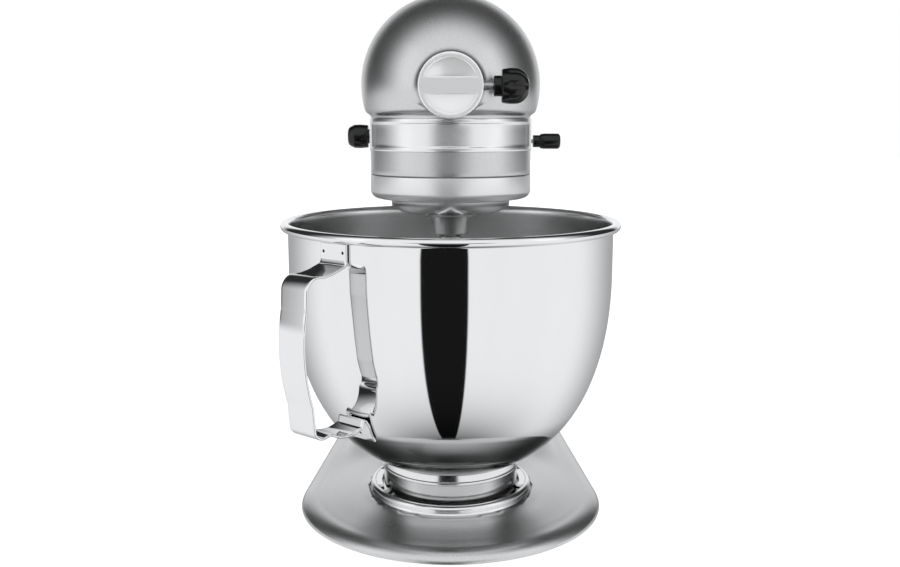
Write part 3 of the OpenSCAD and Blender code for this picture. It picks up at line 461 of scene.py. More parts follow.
def skirted(bm):
    # cuts the round body above the trim band, then forms the lip and the skirt behind the band
    halves(bm, (0, 0, head["cutZ"]), (0, 0, 1), clear_inner=True, dist=0.0001)
    level = [v for v in bm.verts if abs(v.co.z - head["cutZ"]) < 0.3]
    for v in level:
        v.co.z = head["cutZ"]
    bmesh.ops.remove_doubles(bm, verts=level, dist=0.35)
    edges = [e for e in bm.edges if e.is_boundary
             and all(abs(v.co.z - head["cutZ"]) < 0.01 for v in e.verts)]
    starts = {tuple(v.co): v.co.copy() for e in edges for v in e.verts}
    skirtZ = head["seamZ"] - head["cutZ"]
    curve = [(0, 0), (0.21, -2.9), (1, -2.6), (1, -5.0)]
    steps = []
    for t in (0.15, 0.3, 0.42, 0.52, 0.62, 0.74, 0.87, 1):
        weights = ((1 - t) ** 3, 3 * t * (1 - t) ** 2, 3 * t * t * (1 - t), t ** 3)
        steps.append((blended(weights, curve, 0), 0, blended(weights, curve, 1)))
    steps += [(1, 0, -5.85), (1, head["groove"], -5.9), (1, head["groove"], skirtZ), (1.8, 0, skirtZ)]
    for share, groove, drop in steps:
        out = bmesh.ops.extrude_edge_only(bm, edges=edges)["geom"]
        moved = {}
        for v in [g for g in out if isinstance(g, bmesh.types.BMVert)]:
            start = starts[tuple(v.co)]
            reach = head["lipX"] * share + (groove if start.y < head["bandEnd"] else 0)
            v.co = start + skirtInward(start) * reach + Vector((0, 0, drop))
            moved[tuple(v.co)] = start
        edges = [g for g in out if isinstance(g, bmesh.types.BMEdge)]
        starts = moved
    return bm


# places of the housing's rings along its length, closer where the body tapers
bodyRows = [10, 30, 55, 85, 119.9, 126, 134, 142, 150, 158, 166, 172, 178, 183, 186.1, 186.4,
            190, 195, 200, 205]
noseTurns = [26 + 2.5 * i for i in range(25)] + [88, 89.3]
noseRows = [19 + 0.8 * i for i in range(8)] + [60 * math.sin(math.radians(a)) for a in noseTurns]
roundSteps = 144


def housingPoint(column, row):
    turn = 2 * math.pi * column / roundSteps
    if row == 0 and math.cos(turn) < 0:
        # under the hub the skin starts just above the lip's cut
        return nosePoint(min(noseRows[0], (hubZ - head["cutZ"] - 1) / -math.cos(turn)), turn)
    if row < len(noseRows):
        return nosePoint(noseRows[row], turn)
    y = bodyRows[row - len(noseRows)]
    return bodyPoint(head["domeR"] if y < head["taperY"] else bodyR(y), y, turn)


housing = sheet(roundSteps, len(noseRows) + len(bodyRows) - 1, housingPoint)
bmesh.ops.remove_doubles(housing, verts=housing.verts, dist=0.002)
housing = closeUp(skirted(housing))
bmesh.ops.solidify(housing, geom=housing.faces, thickness=head["wall"])
hubWall = 18.9  # middle of the hub's wall
for v in housing.verts:
    # the lip stops in the hub's wall and leaves its bore open
    reach = math.hypot(v.co.x, v.co.z - hubZ)
    if v.co.y < -40 and v.co.z < head["cutZ"] + 4 and reach < hubWall:
        v.co.x *= hubWall / reach
        v.co.z = hubZ + (v.co.z - hubZ) * hubWall / reach

# the hub's barrel: up the bore, over the rounded front edge and back along the outside
hubRows = ([(18.55, y) for y in (-55, -65, -77.6)]
           + [(18.75, -77.92), (18.95, head["hubFront"]), (19.15, head["hubFront"]), (19.38, -77.9)]
           + [(head["hubR"], y) for y in (-77.6, -74, -69, -65)])
filletSteps = 9


def hubPoint(column, row):
    turn = 2 * math.pi * column / roundSteps
    if row < len(hubRows):
        r, y = hubRows[row]
    else:
        t = (row - len(hubRows) + 1) / filletSteps
        full = ease((math.cos(turn) + 0.93) / 0.55)  # the fillet dies out towards the hub's underside
        reachR = head["hubR"] + 0.05 + (head["filletR"] - head["hubR"] - 0.05) * full
        outer, inner = nosePoint(reachR, turn), nosePoint(reachR - 0.5, turn)
        slope = (outer.y - inner.y) / 0.5
        cornerY = outer.y - slope * (reachR - head["hubR"])
        ends = ((head["hubR"], cornerY - 6 * full), (head["hubR"], cornerY),
                (reachR, outer.y + 0.03 + 6 * (1 - full)))
        weights = ((1 - t) ** 2, 2 * t * (1 - t), t * t)
        r, y = blended(weights, ends, 0), blended(weights, ends, 1)
    return Vector((r * math.sin(turn), y, hubZ + r * math.cos(turn)))


hubBarrel = closeUp(sheet(roundSteps, len(hubRows) + filletSteps - 1, hubPoint))
piece(joined(housing, hubBarrel), "motorHousing", "head", ["motor_housing"],
      [finishes["silver_paint"]], 50)

coverTurns = [0, 3, 7, 12, 18, 24, 30, 36, 42, 48, 54, 60, 65, 70, 74, 78, 81, 84, 86.5, 88.5, 90]


def coverPoint(column, row):
    a = math.radians(coverTurns[row])
    r = head["coverR"] * max(0, math.cos(a)) ** 0.8
    return bodyPoint(r, 205.4 + (head["rearY"] - 205.4) * math.sin(a),
                     2 * math.pi * column / roundSteps)


rearCover = sheet(roundSteps, len(coverTurns) - 1, coverPoint)
bmesh.ops.remove_doubles(rearCover, verts=rearCover.verts, dist=0.002)
rearCover = closeUp(skirted(rearCover))
bmesh.ops.solidify(rearCover, geom=rearCover.faces, thickness=2.2)
piece(rearCover, "rearCover", "head", ["rear_cover"], [finishes["silver_paint"]], 50)

# trim band: a strip with raised borders, and a sunk field across the front
band = {"high": 271, "raised": 0.5, "fieldX": 50.5, "skirtR": 53.5}


def skirtX(y):
    width = math.sqrt(bodyR(max(y, head["taperY"])) ** 2 - (head["domeZ"] - band["high"]) ** 2)
    return width - math.sqrt(head["domeR"] ** 2 - (head["domeZ"] - band["high"]) ** 2) + band["skirtR"]


sideRows = [2, 20, 45, 70, 90, 102.5, 108, 114, 120, 122.5, 125.5, 132, 140, 150, 160, 168, 175.5,
            181, 186]
bandFront = [Vector(p) for p in arc(0, 0, band["skirtR"], -180, 0, 120)]
bandPath = ([Vector((-skirtX(y), y)) for y in reversed(sideRows)] + bandFront
            + [Vector((skirtX(y), y)) for y in sideRows])
# how far each height stands out: rounded borders with a soft fall to the sunk field
bandLine = [(-0.85, 250.5), (0.25, 250.5), (0.42, 250.57), (0.5, 250.75), (0.5, 251.5), (0.5, 252.4),
            (0.47, 252.9), (0.36, 253.25), (0.12, 253.55), (0.03, 253.9), (0, 254.4), (0, 255.5),
            (0, 259.5), (0, 264), (0, 267.1), (0.03, 267.6), (0.12, 267.95), (0.36, 268.25),
            (0.47, 268.6), (0.5, 269.1), (0.5, 270.75), (0.42, 270.93), (0.25, 271), (-0.85, 271)]


def bandPoint(column, row):
    here = bandPath[column]
    before, after = bandPath[max(0, column - 1)], bandPath[min(len(bandPath) - 1, column + 1)]
    along = (after - before).normalized()
    out, z = bandLine[row]
    field = ease((band["fieldX"] + 0.4 - abs(here.x)) / 0.8) if here.y < 0 else 0
    if 253 <= z <= 268.7:
        out = band["raised"] + (out - band["raised"]) * field
    return Vector((here.x + out * along.y, here.y - out * along.x, z))


trim = sheet(len(bandPath) - 1, len(bandLine) - 1, bandPoint)
slots = [(-1, 102.5, 125.5, 255.5, 259.5), (1, 122.5, 175.5, 251.5, 255.5)]
gone = [f for f in trim.faces for side, y0, y1, z0, z1 in slots
        if f.calc_center_median().x * side > 0 and y0 < f.calc_center_median().y < y1
        and z0 < f.calc_center_median().z < z1]
bmesh.ops.delete(trim, geom=gone, context="FACES")
closeUp(trim)
bmesh.ops.solidify(trim, geom=trim.faces, thickness=0.4)
piece(trim, "trimBand", "head", ["trim_band"], [finishes["brushed_trim"]], 40)

# gear case: the CAD casting with a finer outer wall, flat under the front and rising behind the hinge
case = {"low": 234.5, "top": 262.8, "bandTop": 250.4, "riseY": 182, "riseZ": 269, "endY": 238, "edge": 1.0}


def caseLow(y):
    if y <= case["riseY"]:
        return case["low"]
    share = min(1, (y - case["riseY"]) / (case["endY"] - case["riseY"]))
    turn = math.acos(share ** (1 / 1.2))
    return min(case["top"] - 0.1, case["riseZ"] - (case["riseZ"] - case["low"]) * math.sin(turn) ** 1.2)


def skirtEnd(a):
    r = head["coverR"] * math.cos(math.radians(a)) ** 0.8
    narrow = math.sqrt(max(0, r * r - (head["domeZ"] - band["high"]) ** 2))
    wide = math.sqrt(head["domeR"] ** 2 - (head["domeZ"] - band["high"]) ** 2)
    y = head["coverY"] + (head["rearY"] - head["coverY"]) * math.sin(math.radians(a))
    return Vector((narrow - wide + band["skirtR"], y))


rearPath = [Vector((skirtX(y), y)) for y in (186.25, 186.35, 190, 195, 200, 205)]
rearPath += [skirtEnd(a) for a in range(6, 67, 6)]
casePath = [Vector((-v.x, v.y)) for v in reversed(rearPath)] + bandPath + rearPath
caseRows = 10


def casePoint(column, row):
    here = casePath[column]
    along = (casePath[min(len(casePath) - 1, column + 1)] - casePath[max(0, column - 1)]).normalized()
    top = case["bandTop"] if here.y < 186.3 else case["top"]
    low = caseLow(here.y)
    if row <= 4:
        turn = math.radians(90 * row / 4)
        out, z = case["edge"] * (math.sin(turn) - 1), low + case["edge"] * (1 - math.cos(turn))
        z = min(z, top)
    else:
        out, z = 0, low + case["edge"] + (top - low - case["edge"]) * (row - 4) / (caseRows - 4)
        z = max(min(z, top), min(top, low + case["edge"]))
    return Vector((here.x + out * along.y, here.y - out * along.x, z))


def nearOutline(p):
    if p.y < 0:
        return abs(p.xy.length - band["skirtR"])
    if p.y < head["coverY"]:
        return abs(abs(p.x) - skirtX(p.y))
    return min((Vector((abs(p.x), p.y)) - q).length for q in rearPath[5:]) - 3


casing = fromCad("gear_case")
outer = [f for f in casing.faces if abs(f.normal.z) < 0.85
         and all(nearOutline(v.co) < 0.25 for v in f.verts)]
bmesh.ops.delete(casing, geom=outer, context="FACES")
skin = closeUp(sheet(len(casePath) - 1, caseRows, casePoint))
middle = Vector((0, 90, 0))
if sum(f.normal.xy.dot((f.calc_center_median() - middle).xy) for f in skin.faces) < 0:
    bmesh.ops.reverse_faces(skin, faces=skin.faces)
piece(joined(casing, skin), "gearCase", "head", ["gear_case"], [finishes["silver_paint"]], 28)

ringLine = rounded([(50.5, 234.4, 0), (53.8, 234.4, 0.4), (53.8, 218.8, 5.4), (44, 218.8, 0.4),
                    (44, 220.3, 0.4), (49.6, 220.3, 3.8), (51.4, 226.5, 1), (50.5, 234.4, 0)], 9)
drip = closeUp(spun(ringLine, 160))
piece(drip, "dripRing", "head", ["drip_ring"], [satinRing], 40)
refined("planetary", "planetaryBody", "planetary", 30)

# hub cover: a flange with two half-moon finger recesses

cover = {"front": -82.2, "flange": 4, "r": 19.3, "moonR": 16.2, "bar": 4.7, "depth": 2.5,
         "plugR": 17.4, "plugLength": 12.7, "plugWall": 1.6}


def hubCoverShape():
    bm = bmesh.new()
    bmesh.ops.create_circle(bm, cap_ends=True, segments=roundSteps, radius=cover["moonR"])
    for z in (cover["bar"], -cover["bar"]):
        halves(bm, (0, z, 0), (0, 1, 0))
    moons = [f for f in bm.faces if abs(f.calc_center_median().y) > cover["bar"]]
    for moon in moons:
        walls = bmesh.ops.extrude_face_region(bm, geom=[moon])["geom"]
        sunk = [g for g in walls if isinstance(g, bmesh.types.BMVert)]
        bmesh.ops.translate(bm, verts=sunk, vec=(0, 0, -cover["depth"]))
    bmesh.ops.delete(bm, geom=moons, context="FACES")
    rim = [e for e in bm.edges if e.is_boundary]
    back, inside = -cover["plugLength"], cover["plugR"] - cover["plugWall"]
    outline = rounded([(cover["moonR"], 0, 0), (cover["r"], 0, 0.7), (cover["r"], -cover["flange"], 0.2),
                       (cover["plugR"], -cover["flange"], 0.2), (cover["plugR"], back, 0.3),
                       (inside, back, 0.2), (inside, -cover["flange"] - 0.5, 0)], 4)
    for r, z in outline[1:]:
        out = bmesh.ops.extrude_edge_only(bm, edges=rim)["geom"]
        rim = [g for g in out if isinstance(g, bmesh.types.BMEdge)]
        for v in [g for g in out if isinstance(g, bmesh.types.BMVert)]:
            v.co = Vector((*(v.co.xy.normalized() * r), z))
    bmesh.ops.contextual_create(bm, geom=rim)
    closeUp(bm)
    sharp = [e for e in bm.edges if e.is_manifold and e.calc_face_angle(0) > 1.2
             and e.verts[0].co.xy.length < cover["moonR"] + 0.01
             and max(v.co.z for v in e.verts) < 0.01
             and min(v.co.z for v in e.verts) > -cover["depth"] - 0.1]
    bmesh.ops.bevel(bm, geom=sharp, offset=0.35, segments=3, affect="EDGES", profile=0.5, material=-1)
    return bm


coverTurn = Matrix.Translation((0, cover["front"], hubZ)) @ Matrix.Rotation(math.radians(90), 4, "X")
piece(aimed(hubCoverShape(), coverTurn), "hubCover", "hub_cover", ["hub_cover"], [brightTrim], 30)

# knobs

clamp = {"start": 25.8, "y": -66, "collarR": 6.2, "bodyR": 10.6, "length": 21.2, "wings": 6, "flute": 1.5}
clampLine = rounded([(0.01, -0.02, 0), (2.6, -0.02, 0), (2.6, 0, 0), (clamp["collarR"], 0, 0.6),
                     (clamp["collarR"], 4.6, 0.4), (clamp["bodyR"] - 0.7, 4.6, 0.9), (clamp["bodyR"], 9, 3),
                     (clamp["bodyR"], clamp["length"], 8.6), (0.01, clamp["length"], 0)], 8)


def clampPoint(column, row):
    turn = 2 * math.pi * column / roundSteps
    r, along = clampLine[row]
    lobe = (0.5 + 0.5 * math.cos(clamp["wings"] * turn)) ** 0.4
    deep = ease((along - 6) / 4) * ease((r - 3) / 5)
    r = r - clamp["flute"] * (1 - lobe) * deep
    return Vector((r * math.cos(turn), r * math.sin(turn), along))


def sideways(x, y, z, turn):
    return Matrix.Translation((x, y, z)) @ Matrix.Rotation(math.radians(turn), 4, "Y")


clampKnob = closeUp(sheet(roundSteps, len(clampLine) - 1, clampPoint))
piece(aimed(clampKnob, sideways(clamp["start"], clamp["y"], hubZ, 90)), "clampKnob", "clamp_knob",
      ["clamp_knob"], [finishes["black_plastic"]], 60)

lock = {"place": (-65, 120, 257.5), "turn": -90}
lockLine = rounded([(0.01, -1, 0), (5.6, -1, 0.2), (5.6, 0, 0.2), (8.8, 0, 0.9), (9.3, 6, 3),
                    (9.1, 11, 3), (6.6, 16, 3.5), (0.01, 16, 0)], 7)
lockKnob = closeUp(spun(lockLine, 96))
piece(aimed(lockKnob, sideways(*lock["place"], lock["turn"])), "lockKnob", "lock", ["lock_knob"],
      [finishes["black_plastic"]], 60)

speed = {"place": (71.7, 128, 253.5), "turn": 90}
speedLine = rounded([(0.01, -5.7, 0), (4.8, -5.7, 0.5), (4.8, 0, 0.5), (5.6, 0, 0.7), (6.1, 3, 2),
                     (6.1, 16.1, 2.4), (0.01, 16.1, 0)], 7)
speedKnob = closeUp(spun(speedLine, 96))
piece(aimed(speedKnob, sideways(*speed["place"], speed["turn"])), "speedKnob", "speed", ["speed_knob"],
      [finishes["black_plastic"]], 60)

# bowl

bowl = {"r": 109.5, "wallTop": 170, "floor": 30.5, "rimZ": 201, "rimR": 3, "wall": 1.2,
        "across": 2.55, "down": 2.2}  # the last two are the powers of its side's curve


def bowlHeight(r, grow=0):
    drop = (1 - min(1, r / (bowl["r"] - grow)) ** bowl["across"]) ** (1 / bowl["down"])
    return bowl["wallTop"] - (bowl["wallTop"] - bowl["floor"] - grow) * drop


def bowlRadius(z, grow=0):
    down = max(0, (bowl["wallTop"] - z) / (bowl["wallTop"] - bowl["floor"] - grow))
    return (bowl["r"] - grow) * max(0, 1 - down ** bowl["down"]) ** (1 / bowl["across"])


def bowlSide(grow):
    low = [(r, bowlHeight(r, grow)) for r in (0.01, 15, 28, 38, 46, 53, 60, 66, 72, 77, 82, 86, 90)]
    start = low[-1][1]
    heights = [start + (bowl["wallTop"] - start) * i / 26 for i in range(1, 26)]
    side = [(bowlRadius(z, grow), z) for z in heights]
    return low + side + [(bowl["r"] - grow, z) for z in (170, 177, 184, 191, bowl["rimZ"] - 3.6)]


bowlLine = (bowlSide(0) + arc(bowl["r"] + 1.9, bowl["rimZ"], bowl["rimR"], 236, 500, 26)
            + [(bowl["r"] - 0.9, bowl["rimZ"] + 1.3), (bowl["r"] - 1.2, bowl["rimZ"] - 0.6)]
            + list(reversed(bowlSide(bowl["wall"]))))
bowlShell = closeUp(spun(bowlLine, 256))
insideR = bowl["wall"] / 2
for face in bowlShell.faces:
    centre = face.calc_center_median()
    reach = math.hypot(centre.x, centre.y)
    wallR = bowlRadius(centre.z, insideR) if centre.z < bowl["wallTop"] else bowl["r"] - insideR
    lowZ = bowlHeight(reach, insideR) if reach < bowl["r"] - insideR else 0
    inner = reach < wallR and (reach > 88 or centre.z > lowZ) and centre.z < bowl["rimZ"] + 0.8
    face.material_index = 1 if inner else 0
piece(bowlShell, "bowlShell", "bowl", ["bowl_shell"], [bowlMirrorPaintedShade, satinSteel], 40)

foot = {"inside": 45.7, "outside": 47, "low": 14.15}
footLine = rounded([(foot["inside"], foot["low"], 0), (foot["outside"], foot["low"], 0.4),
                    (foot["outside"], 31, 0.3), (48, 31, 0.5), (48, 33.2, 0.5), (foot["outside"], 33.4, 0.4),
                    (foot["outside"], bowlHeight(foot["outside"]) - 0.05, 0),
                    (foot["inside"], bowlHeight(foot["inside"]) - 0.05, 0),
                    (foot["inside"], foot["low"], 0)], 4)


def ringPart(line, start, angle):
    part = spun(line + [line[0]], 24, angle, start)
    bmesh.ops.remove_doubles(part, verts=part.verts, dist=0.002)
    bmesh.ops.holes_fill(part, edges=[e for e in part.edges if e.is_boundary])
    bmesh.ops.recalc_face_normals(part, faces=part.faces)
    return part


lugLine = [(46.4, 14.75), (50.2, 15.35), (50.2, 16.85), (46.4, 17.75)]
bowlFoot = joined(closeUp(spun(footLine, 192)), *[ringPart(lugLine, t - 14, 28) for t in (8, 188)])
piece(bowlFoot, "bowlFoot", "bowl", ["bowl_foot"], [turnedSteel], 35)

plateLine = (rounded([(16, 11.9, 0), (16, 13.9, 0.3), (50.7, 13.9, 1.5)], 4)
             + arc(53.6, 17.4, 2.6, 178, 10, 16)
             + rounded([(56.2, 17.6, 0), (56.5, 15.4, 1.2), (57, 14.4, 0.4), (57, 11.9, 0.2),
                        (51.4, 11.9, 0.2), (51.4, 9.6, 0.2), (40, 9.6, 0.2), (40, 11.9, 0.2),
                        (16, 11.9, 0)], 4))
tabLine = [(48.3, 18.2), (48.3, 19.5), (48.6, 19.8), (53.5, 19.9), (53.5, 17), (51, 17), (50.9, 18.2)]
clampPlate = joined(closeUp(spun(plateLine, 192)), *[ringPart(tabLine, t - 17, 34) for t in (0, 180)])
piece(clampPlate, "clampPlate", "base", ["clamp_plate"], [turnedSteel], 35)
print("bowl done")

# handle

strap = {"width": 22, "half": 0.8, "turn": 39, "crown": 0.22, "corner": 0.7}
tabReach = bowl["r"] + 0.1 + strap["half"]


def offBowl(z, d):
    lean = Vector((bowlRadius(z + 0.5) - bowlRadius(z - 0.5), 1)).normalized()
    return (bowlRadius(z) + d * lean.y, z - d * lean.x)


# down from the upper tab, out, round the grip and back to the lower tab
strapLine = ([(tabReach, 197.6), (tabReach, 195), (tabReach, 192), (tabReach, 190)]
             + arc(tabReach + 4, 188.3, 4, 180, 255, 8) + [(121.5, 181.9), (128, 180.8)]
             + arc(133.5, 172.2, 9, 80, 15, 10) + arc(35.4, 139, 110, 12, -18, 30)
             + arc(131.6, 92.2, 7.6, -25, -105, 12) + arc(110, 110, 29, -58, -112, 14)
             + arc(97.6, 84.4, 2.6, 80, 150, 6)
             + [offBowl(z, strap["half"] + 0.12) for z in (83.5, 81.5, 79, 76, 73.5, 71.5)])
w, h, c = strap["width"] / 2, strap["half"], strap["corner"]
shares = (0.8, 0.5, 0.2, -0.2, -0.5, -0.8)
strapSection = (arc(w - c, h - c, c, 0, 90, 4) + [(w * x, h) for x in shares]
                + arc(c - w, h - c, c, 90, 180, 4) + arc(c - w, c - h, c, 180, 270, 4)
                + [(-w * x, -h) for x in shares] + arc(w - c, c - h, c, 270, 360, 4))


def strapPoint(column, row):
    here = Vector(strapLine[row])
    before, after = strapLine[max(0, row - 1)], strapLine[min(len(strapLine) - 1, row + 1)]
    along = (Vector(after) - Vector(before)).normalized()
    across, out = strapSection[column % len(strapSection)]
    crowned = ease((here.x - 116) / 8) if here.y > 90 else 0
    out += strap["crown"] * crowned * (1 - (across / w) ** 2) * (1 if out > 0 else 0.2)
    narrow = 1 - 0.12 * ease((84 - here.y) / 10) if here.x < 100 else 1
    flat = here + Vector((-along.y, along.x)) * out
    return Vector((flat.x, across * narrow, flat.y))


handleTurn = Matrix.Rotation(math.radians(-90 - strap["turn"]), 4, "Z")
# weld dimples, painted as dark spots of shade with no dent in the strap: two on the upper tab, one on the
# lower
welds = {"across": 8, "highZ": 192.8, "lowZ": 76.5, "sizes": (0.0007, 0.0012)}
lowDot = offBowl(welds["lowZ"], strap["half"] + 0.9)
highDot = tabReach + strap["half"]
weldSpots = [toRow @ handleTurn @ Vector(p)
             for p in ((highDot, welds["across"], welds["highZ"]),
                       (highDot, -welds["across"], welds["highZ"]), (lowDot[0], 0, lowDot[1]))]


def weldedSteel(tree):
    # polished strap with small dark spots painted at the weld dimples: painted shade standing in for the
    # pits
    finish = mirrorSteel(tree)
    spot = tree.place()
    pitShade = 0
    for weld in weldSpots:
        away = tree.node("ShaderNodeVectorMath", {"operation": "DISTANCE"},
                         {0: spot, 1: tuple(weld)}, "Value")
        pitShade = pitShade + (1 - away.smooth(*welds["sizes"]))
    # painted shade: the strap's colour falls to near black inside each spot
    finish["Base Color"] = tree.mixColour(pitShade, finish["Base Color"], grey(0.02))
    finish["Roughness"] = finish["Roughness"] + pitShade * 0.4
    return finish


handle = sheet(len(strapSection), len(strapLine) - 1, strapPoint)
bmesh.ops.remove_doubles(handle, verts=handle.verts, dist=0.002)
bmesh.ops.holes_fill(handle, edges=[e for e in handle.edges if e.is_boundary])
closeUp(handle)
piece(aimed(handle, handleTurn), "bowlHandle", "bowl", ["bowl_handle"],
      [surface("weldedSteel", {"Metallic": 1.0}, weldedSteel)], 50)

# base and column

base = {"r": 105, "cornerX": 43, "cornerY": 159, "cornerR": 50, "deck": 13.5, "rim": 10.75, "edge": 11,
        "plateR": 57.2}


def flare(z, reach, fall):
    return reach * math.exp(-(z - base["deck"]) / fall)


def columnRing(z, c, s):
    front = 121.5 - 24 * max(0, (150 - z) / 150) ** 2 - flare(z, 34, 15)
    back = 194 + 3 * max(0, (z - 100) / 130) ** 2 + flare(z, 5, 30)
    half = 46 + 4.5 * max(0, (z - 100) / 120) ** 2 + flare(z, 36, 17)
    power = 2 / 2.7
    return Vector((half * math.copysign(abs(c) ** power, c),
                   (front + back) / 2 + (back - front) / 2 * math.copysign(abs(s) ** power, s), z))


# half of the base's outline: front round, straight side, rear corner, straight back
cornerAway = math.hypot(base["cornerX"], base["cornerY"])
lean = math.degrees(math.asin((base["r"] - base["cornerR"]) / cornerAway)
                    - math.atan(base["cornerX"] / base["cornerY"]))
baseFront = arc(0, 0, base["r"], -90, lean, 60)
baseCorner = arc(base["cornerX"], base["cornerY"], base["cornerR"], lean, 90, 26)
last, first = Vector(baseFront[-1]), Vector(baseCorner[0])
sideSteps, backSteps = 8, 6
halfPlan = baseFront + [tuple(last.lerp(first, i / sideSteps)) for i in range(1, sideSteps)] + baseCorner
halfPlan += [(base["cornerX"] * (1 - i / backSteps), base["cornerY"] + base["cornerR"])
             for i in range(1, backSteps + 1)]
basePlan = [Vector(p) for p in halfPlan] + [Vector((-p[0], p[1])) for p in reversed(halfPlan[1:-1])]
planCount = len(basePlan)


def planNormal(i):
    along = (basePlan[(i + 1) % planCount] - basePlan[i - 1]).normalized()
    return Vector((along.y, -along.x))


ringHeights = [13.9, 14.6, 15.5, 16.6, 17.9, 19.4, 21, 22.8, 24.8, 26.9]
edgeTurns = [math.radians(a) for a in range(8, 90, 8)]
# (inset, height) round the base's edge
edgeRows = ([(1.0, 3.0), (0.2, 3.35), (0, 4.1)]
            + [(base["edge"] * (1 - math.cos(a)), 4.1 + 6.6 * math.sin(a)) for a in edgeTurns]
            + [(base["edge"] + 2, base["rim"])])
deckSteps = 44


def deckZ(p):
    reach = math.hypot(p.x, p.y)
    inner = base["rim"] + (base["deck"] - base["rim"]) * ease((98 - reach) / 40)
    pad = 0.9 * math.exp(-((reach - 57) / 5) ** 2)
    return inner + pad


def columnTurn(i):
    p = basePlan[i] - Vector((0, 150))
    return math.atan2(p.y / 1.25, p.x)


def basePoint(column, row):
    i = column % planCount
    out = planNormal(i)
    if row < len(edgeRows):
        inset, z = edgeRows[row]
        p = basePlan[i] - out * inset
        return Vector((p.x, p.y, z))
    turn = columnTurn(i)
    c, s = math.cos(turn), math.sin(turn)
    row -= len(edgeRows) - 1
    root = columnRing(13.6, c, s)
    if row <= deckSteps:
        t = row / deckSteps
        start = basePlan[i] - out * (base["edge"] + 2)
        p = start.lerp(root.xy, t)
        reach = math.hypot(p.x, p.y)
        z = deckZ(p)
        low = base["rim"] + (root.z - base["rim"]) * ease(t)
        z = low if p.y > 100 else z + (low - z) * ease((p.y - 40) / 60)
        z += 0.4 * math.exp((t - 1) * 9)
        if reach < base["plateR"]:
            z = min(z, 11.7) if reach > 51.8 else 9.3
        return Vector((p.x, p.y, z))
    return columnRing(ringHeights[row - deckSteps - 1], c, s)


baseTop = sheet(planCount, len(edgeRows) - 1 + deckSteps + len(ringHeights), basePoint)
bmesh.ops.remove_doubles(baseTop, verts=baseTop.verts, dist=0.002)
for offset, z in ((4, 3.0), (5.5, 5.5)):
    edges = [e for e in baseTop.edges if e.is_boundary and e.verts[0].co.z < 6]
    out = bmesh.ops.extrude_edge_only(baseTop, edges=edges)["geom"]
    for v in [g for g in out if isinstance(g, bmesh.types.BMVert)]:
        nearest = min(range(planCount), key=lambda i: (basePlan[i] - v.co.xy).length)
        p = basePlan[nearest] - planNormal(nearest) * offset
        v.co = Vector((p.x, p.y, z))
bmesh.ops.holes_fill(baseTop, edges=[e for e in baseTop.edges if e.is_boundary])
closeUp(baseTop)
piece(baseTop, "baseCasting", "base", ["base_casting"], [finishes["silver_paint"]], 50)
refined("column", "columnCasting", "base", 32)
print("base done")

# every other CAD node keeps its shape and takes its slot's finish
for name, slotName in slotOf.items():
    made = nodes[name]
    made.data.materials.clear()
    made.data.materials.append(finishes[slotName])

# studio

studio = {"floor": 6.0, "glow": 0.8, "camera": (-0.0004, -0.71785, 0.2702), "pitch": 9.57, "focal": 38.78,
          "lampX": 1.5, "lampY": -0.7, "lampZ": 0.9, "lampSize": (0.7, 1.5), "lampPower": 0.6}

bm = bmesh.new()
bmesh.ops.create_grid(bm, x_segments=8, y_segments=8, size=studio["floor"])
floorMesh = bpy.data.meshes.new("floor")
bm.to_mesh(floorMesh)
bm.free()
floor = bpy.data.objects.new("floor", floorMesh)
bpy.context.scene.collection.objects.link(floor)
floor.visible_glossy = False


def floorFinish(tree):
    cloud = tree.noise(tree.place(), 3)
    return {"Base Color": tree.mixColour(cloud, grey(0.88), grey(0.9))}


floorLook = {"Roughness": 0.9, "Specular IOR Level": 0.1, "Emission Color": grey(1),
             "Emission Strength": studio["glow"]}
floorMesh.materials.append(surface("paleFloor", floorLook, floorFinish))

world = bpy.data.worlds.new("studio")
bpy.context.scene.world = world
sky = Tree(world)
direction = sky.node("ShaderNodeTexCoord", output="Generated")
east, north, up = sky.parts(direction)
azimuth = east.maths("ARCTAN2", east, 0 - north) * (180 / math.pi)
facing = 0 - north
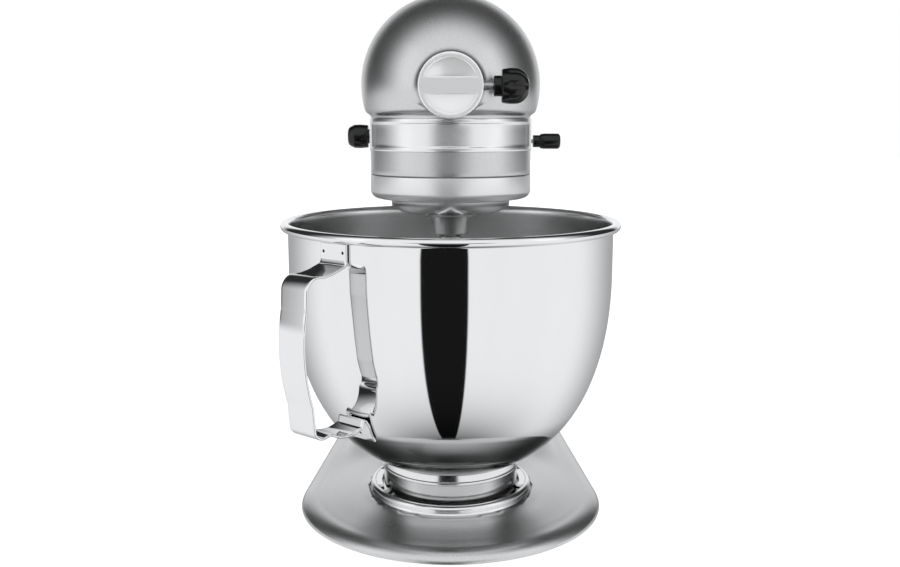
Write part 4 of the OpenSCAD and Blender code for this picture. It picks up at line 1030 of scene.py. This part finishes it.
# a wide soft light in front, dark sides, a bright backdrop behind
backdrop = north.smooth(0.72, 0.9) * 0.95 * (1 - up.smooth(0.45, 0.7))
walls = 0.03 + facing.smooth(-0.35, 0.38) * 0.96 + backdrop
table = (0.4 + facing.smooth(-1.0, -0.1) * 0.62) * (0.05 + (1 - abs(up) ** 6.8) * 0.93)
level = up.smooth(-0.1, 0.0)
# a narrow black card low in front, and a wider dark one behind the camera
lowCard = (azimuth.smooth(-21, -19.5) * (1 - azimuth.smooth(11, 12.5))
           * (1 - up.smooth(-0.1, -0.07)) * up.smooth(-0.995, -0.97))
highCard = ((1 - abs(azimuth).smooth(18, 34)) * up.smooth(-0.07, -0.04)
            * (1 - up.smooth(0.12, 0.22)) * 0.85)
light = (walls * level + table * (1 - level)) * (1 - lowCard * 0.99) * (1 - highCard)
seen = sky.node("ShaderNodeLightPath", output="Is Camera Ray")
strength = light * (1 - seen) + seen * 1.0
tone = sky.mixColour(seen, (0.97, 0.985, 1, 1), (1, 1, 1, 1))
bpy.context.scene.view_settings.view_transform = "Standard"
back = sky.node("ShaderNodeBackground", {}, {"Color": tone, "Strength": strength})
sky.node("ShaderNodeOutputWorld", {}, {"Surface": back})

for name, side in (("leftLight", -1), ("rightLight", 1)):
    data = bpy.data.lights.new(name, "AREA")
    data.shape, data.energy = "RECTANGLE", studio["lampPower"]
    data.size, data.size_y = studio["lampSize"]
    lamp = bpy.data.objects.new(name, data)
    lamp.location = (side * studio["lampX"], studio["lampY"], studio["lampZ"])
    lamp.rotation_euler = (Vector((0, 0, 0.25)) - lamp.location).to_track_quat("-Z", "Y").to_euler()
    bpy.context.scene.collection.objects.link(lamp)

cameraData = bpy.data.cameras.new("camera")
cameraData.lens, cameraData.sensor_width = studio["focal"], 36
cameraData.clip_start, cameraData.clip_end = 0.01, 50
camera = bpy.data.objects.new("camera", cameraData)
camera.location = studio["camera"]
camera.rotation_euler = (math.radians(90 - studio["pitch"]), 0, 0)
bpy.context.scene.collection.objects.link(camera)
bpy.context.scene.camera = camera
print("studio done")
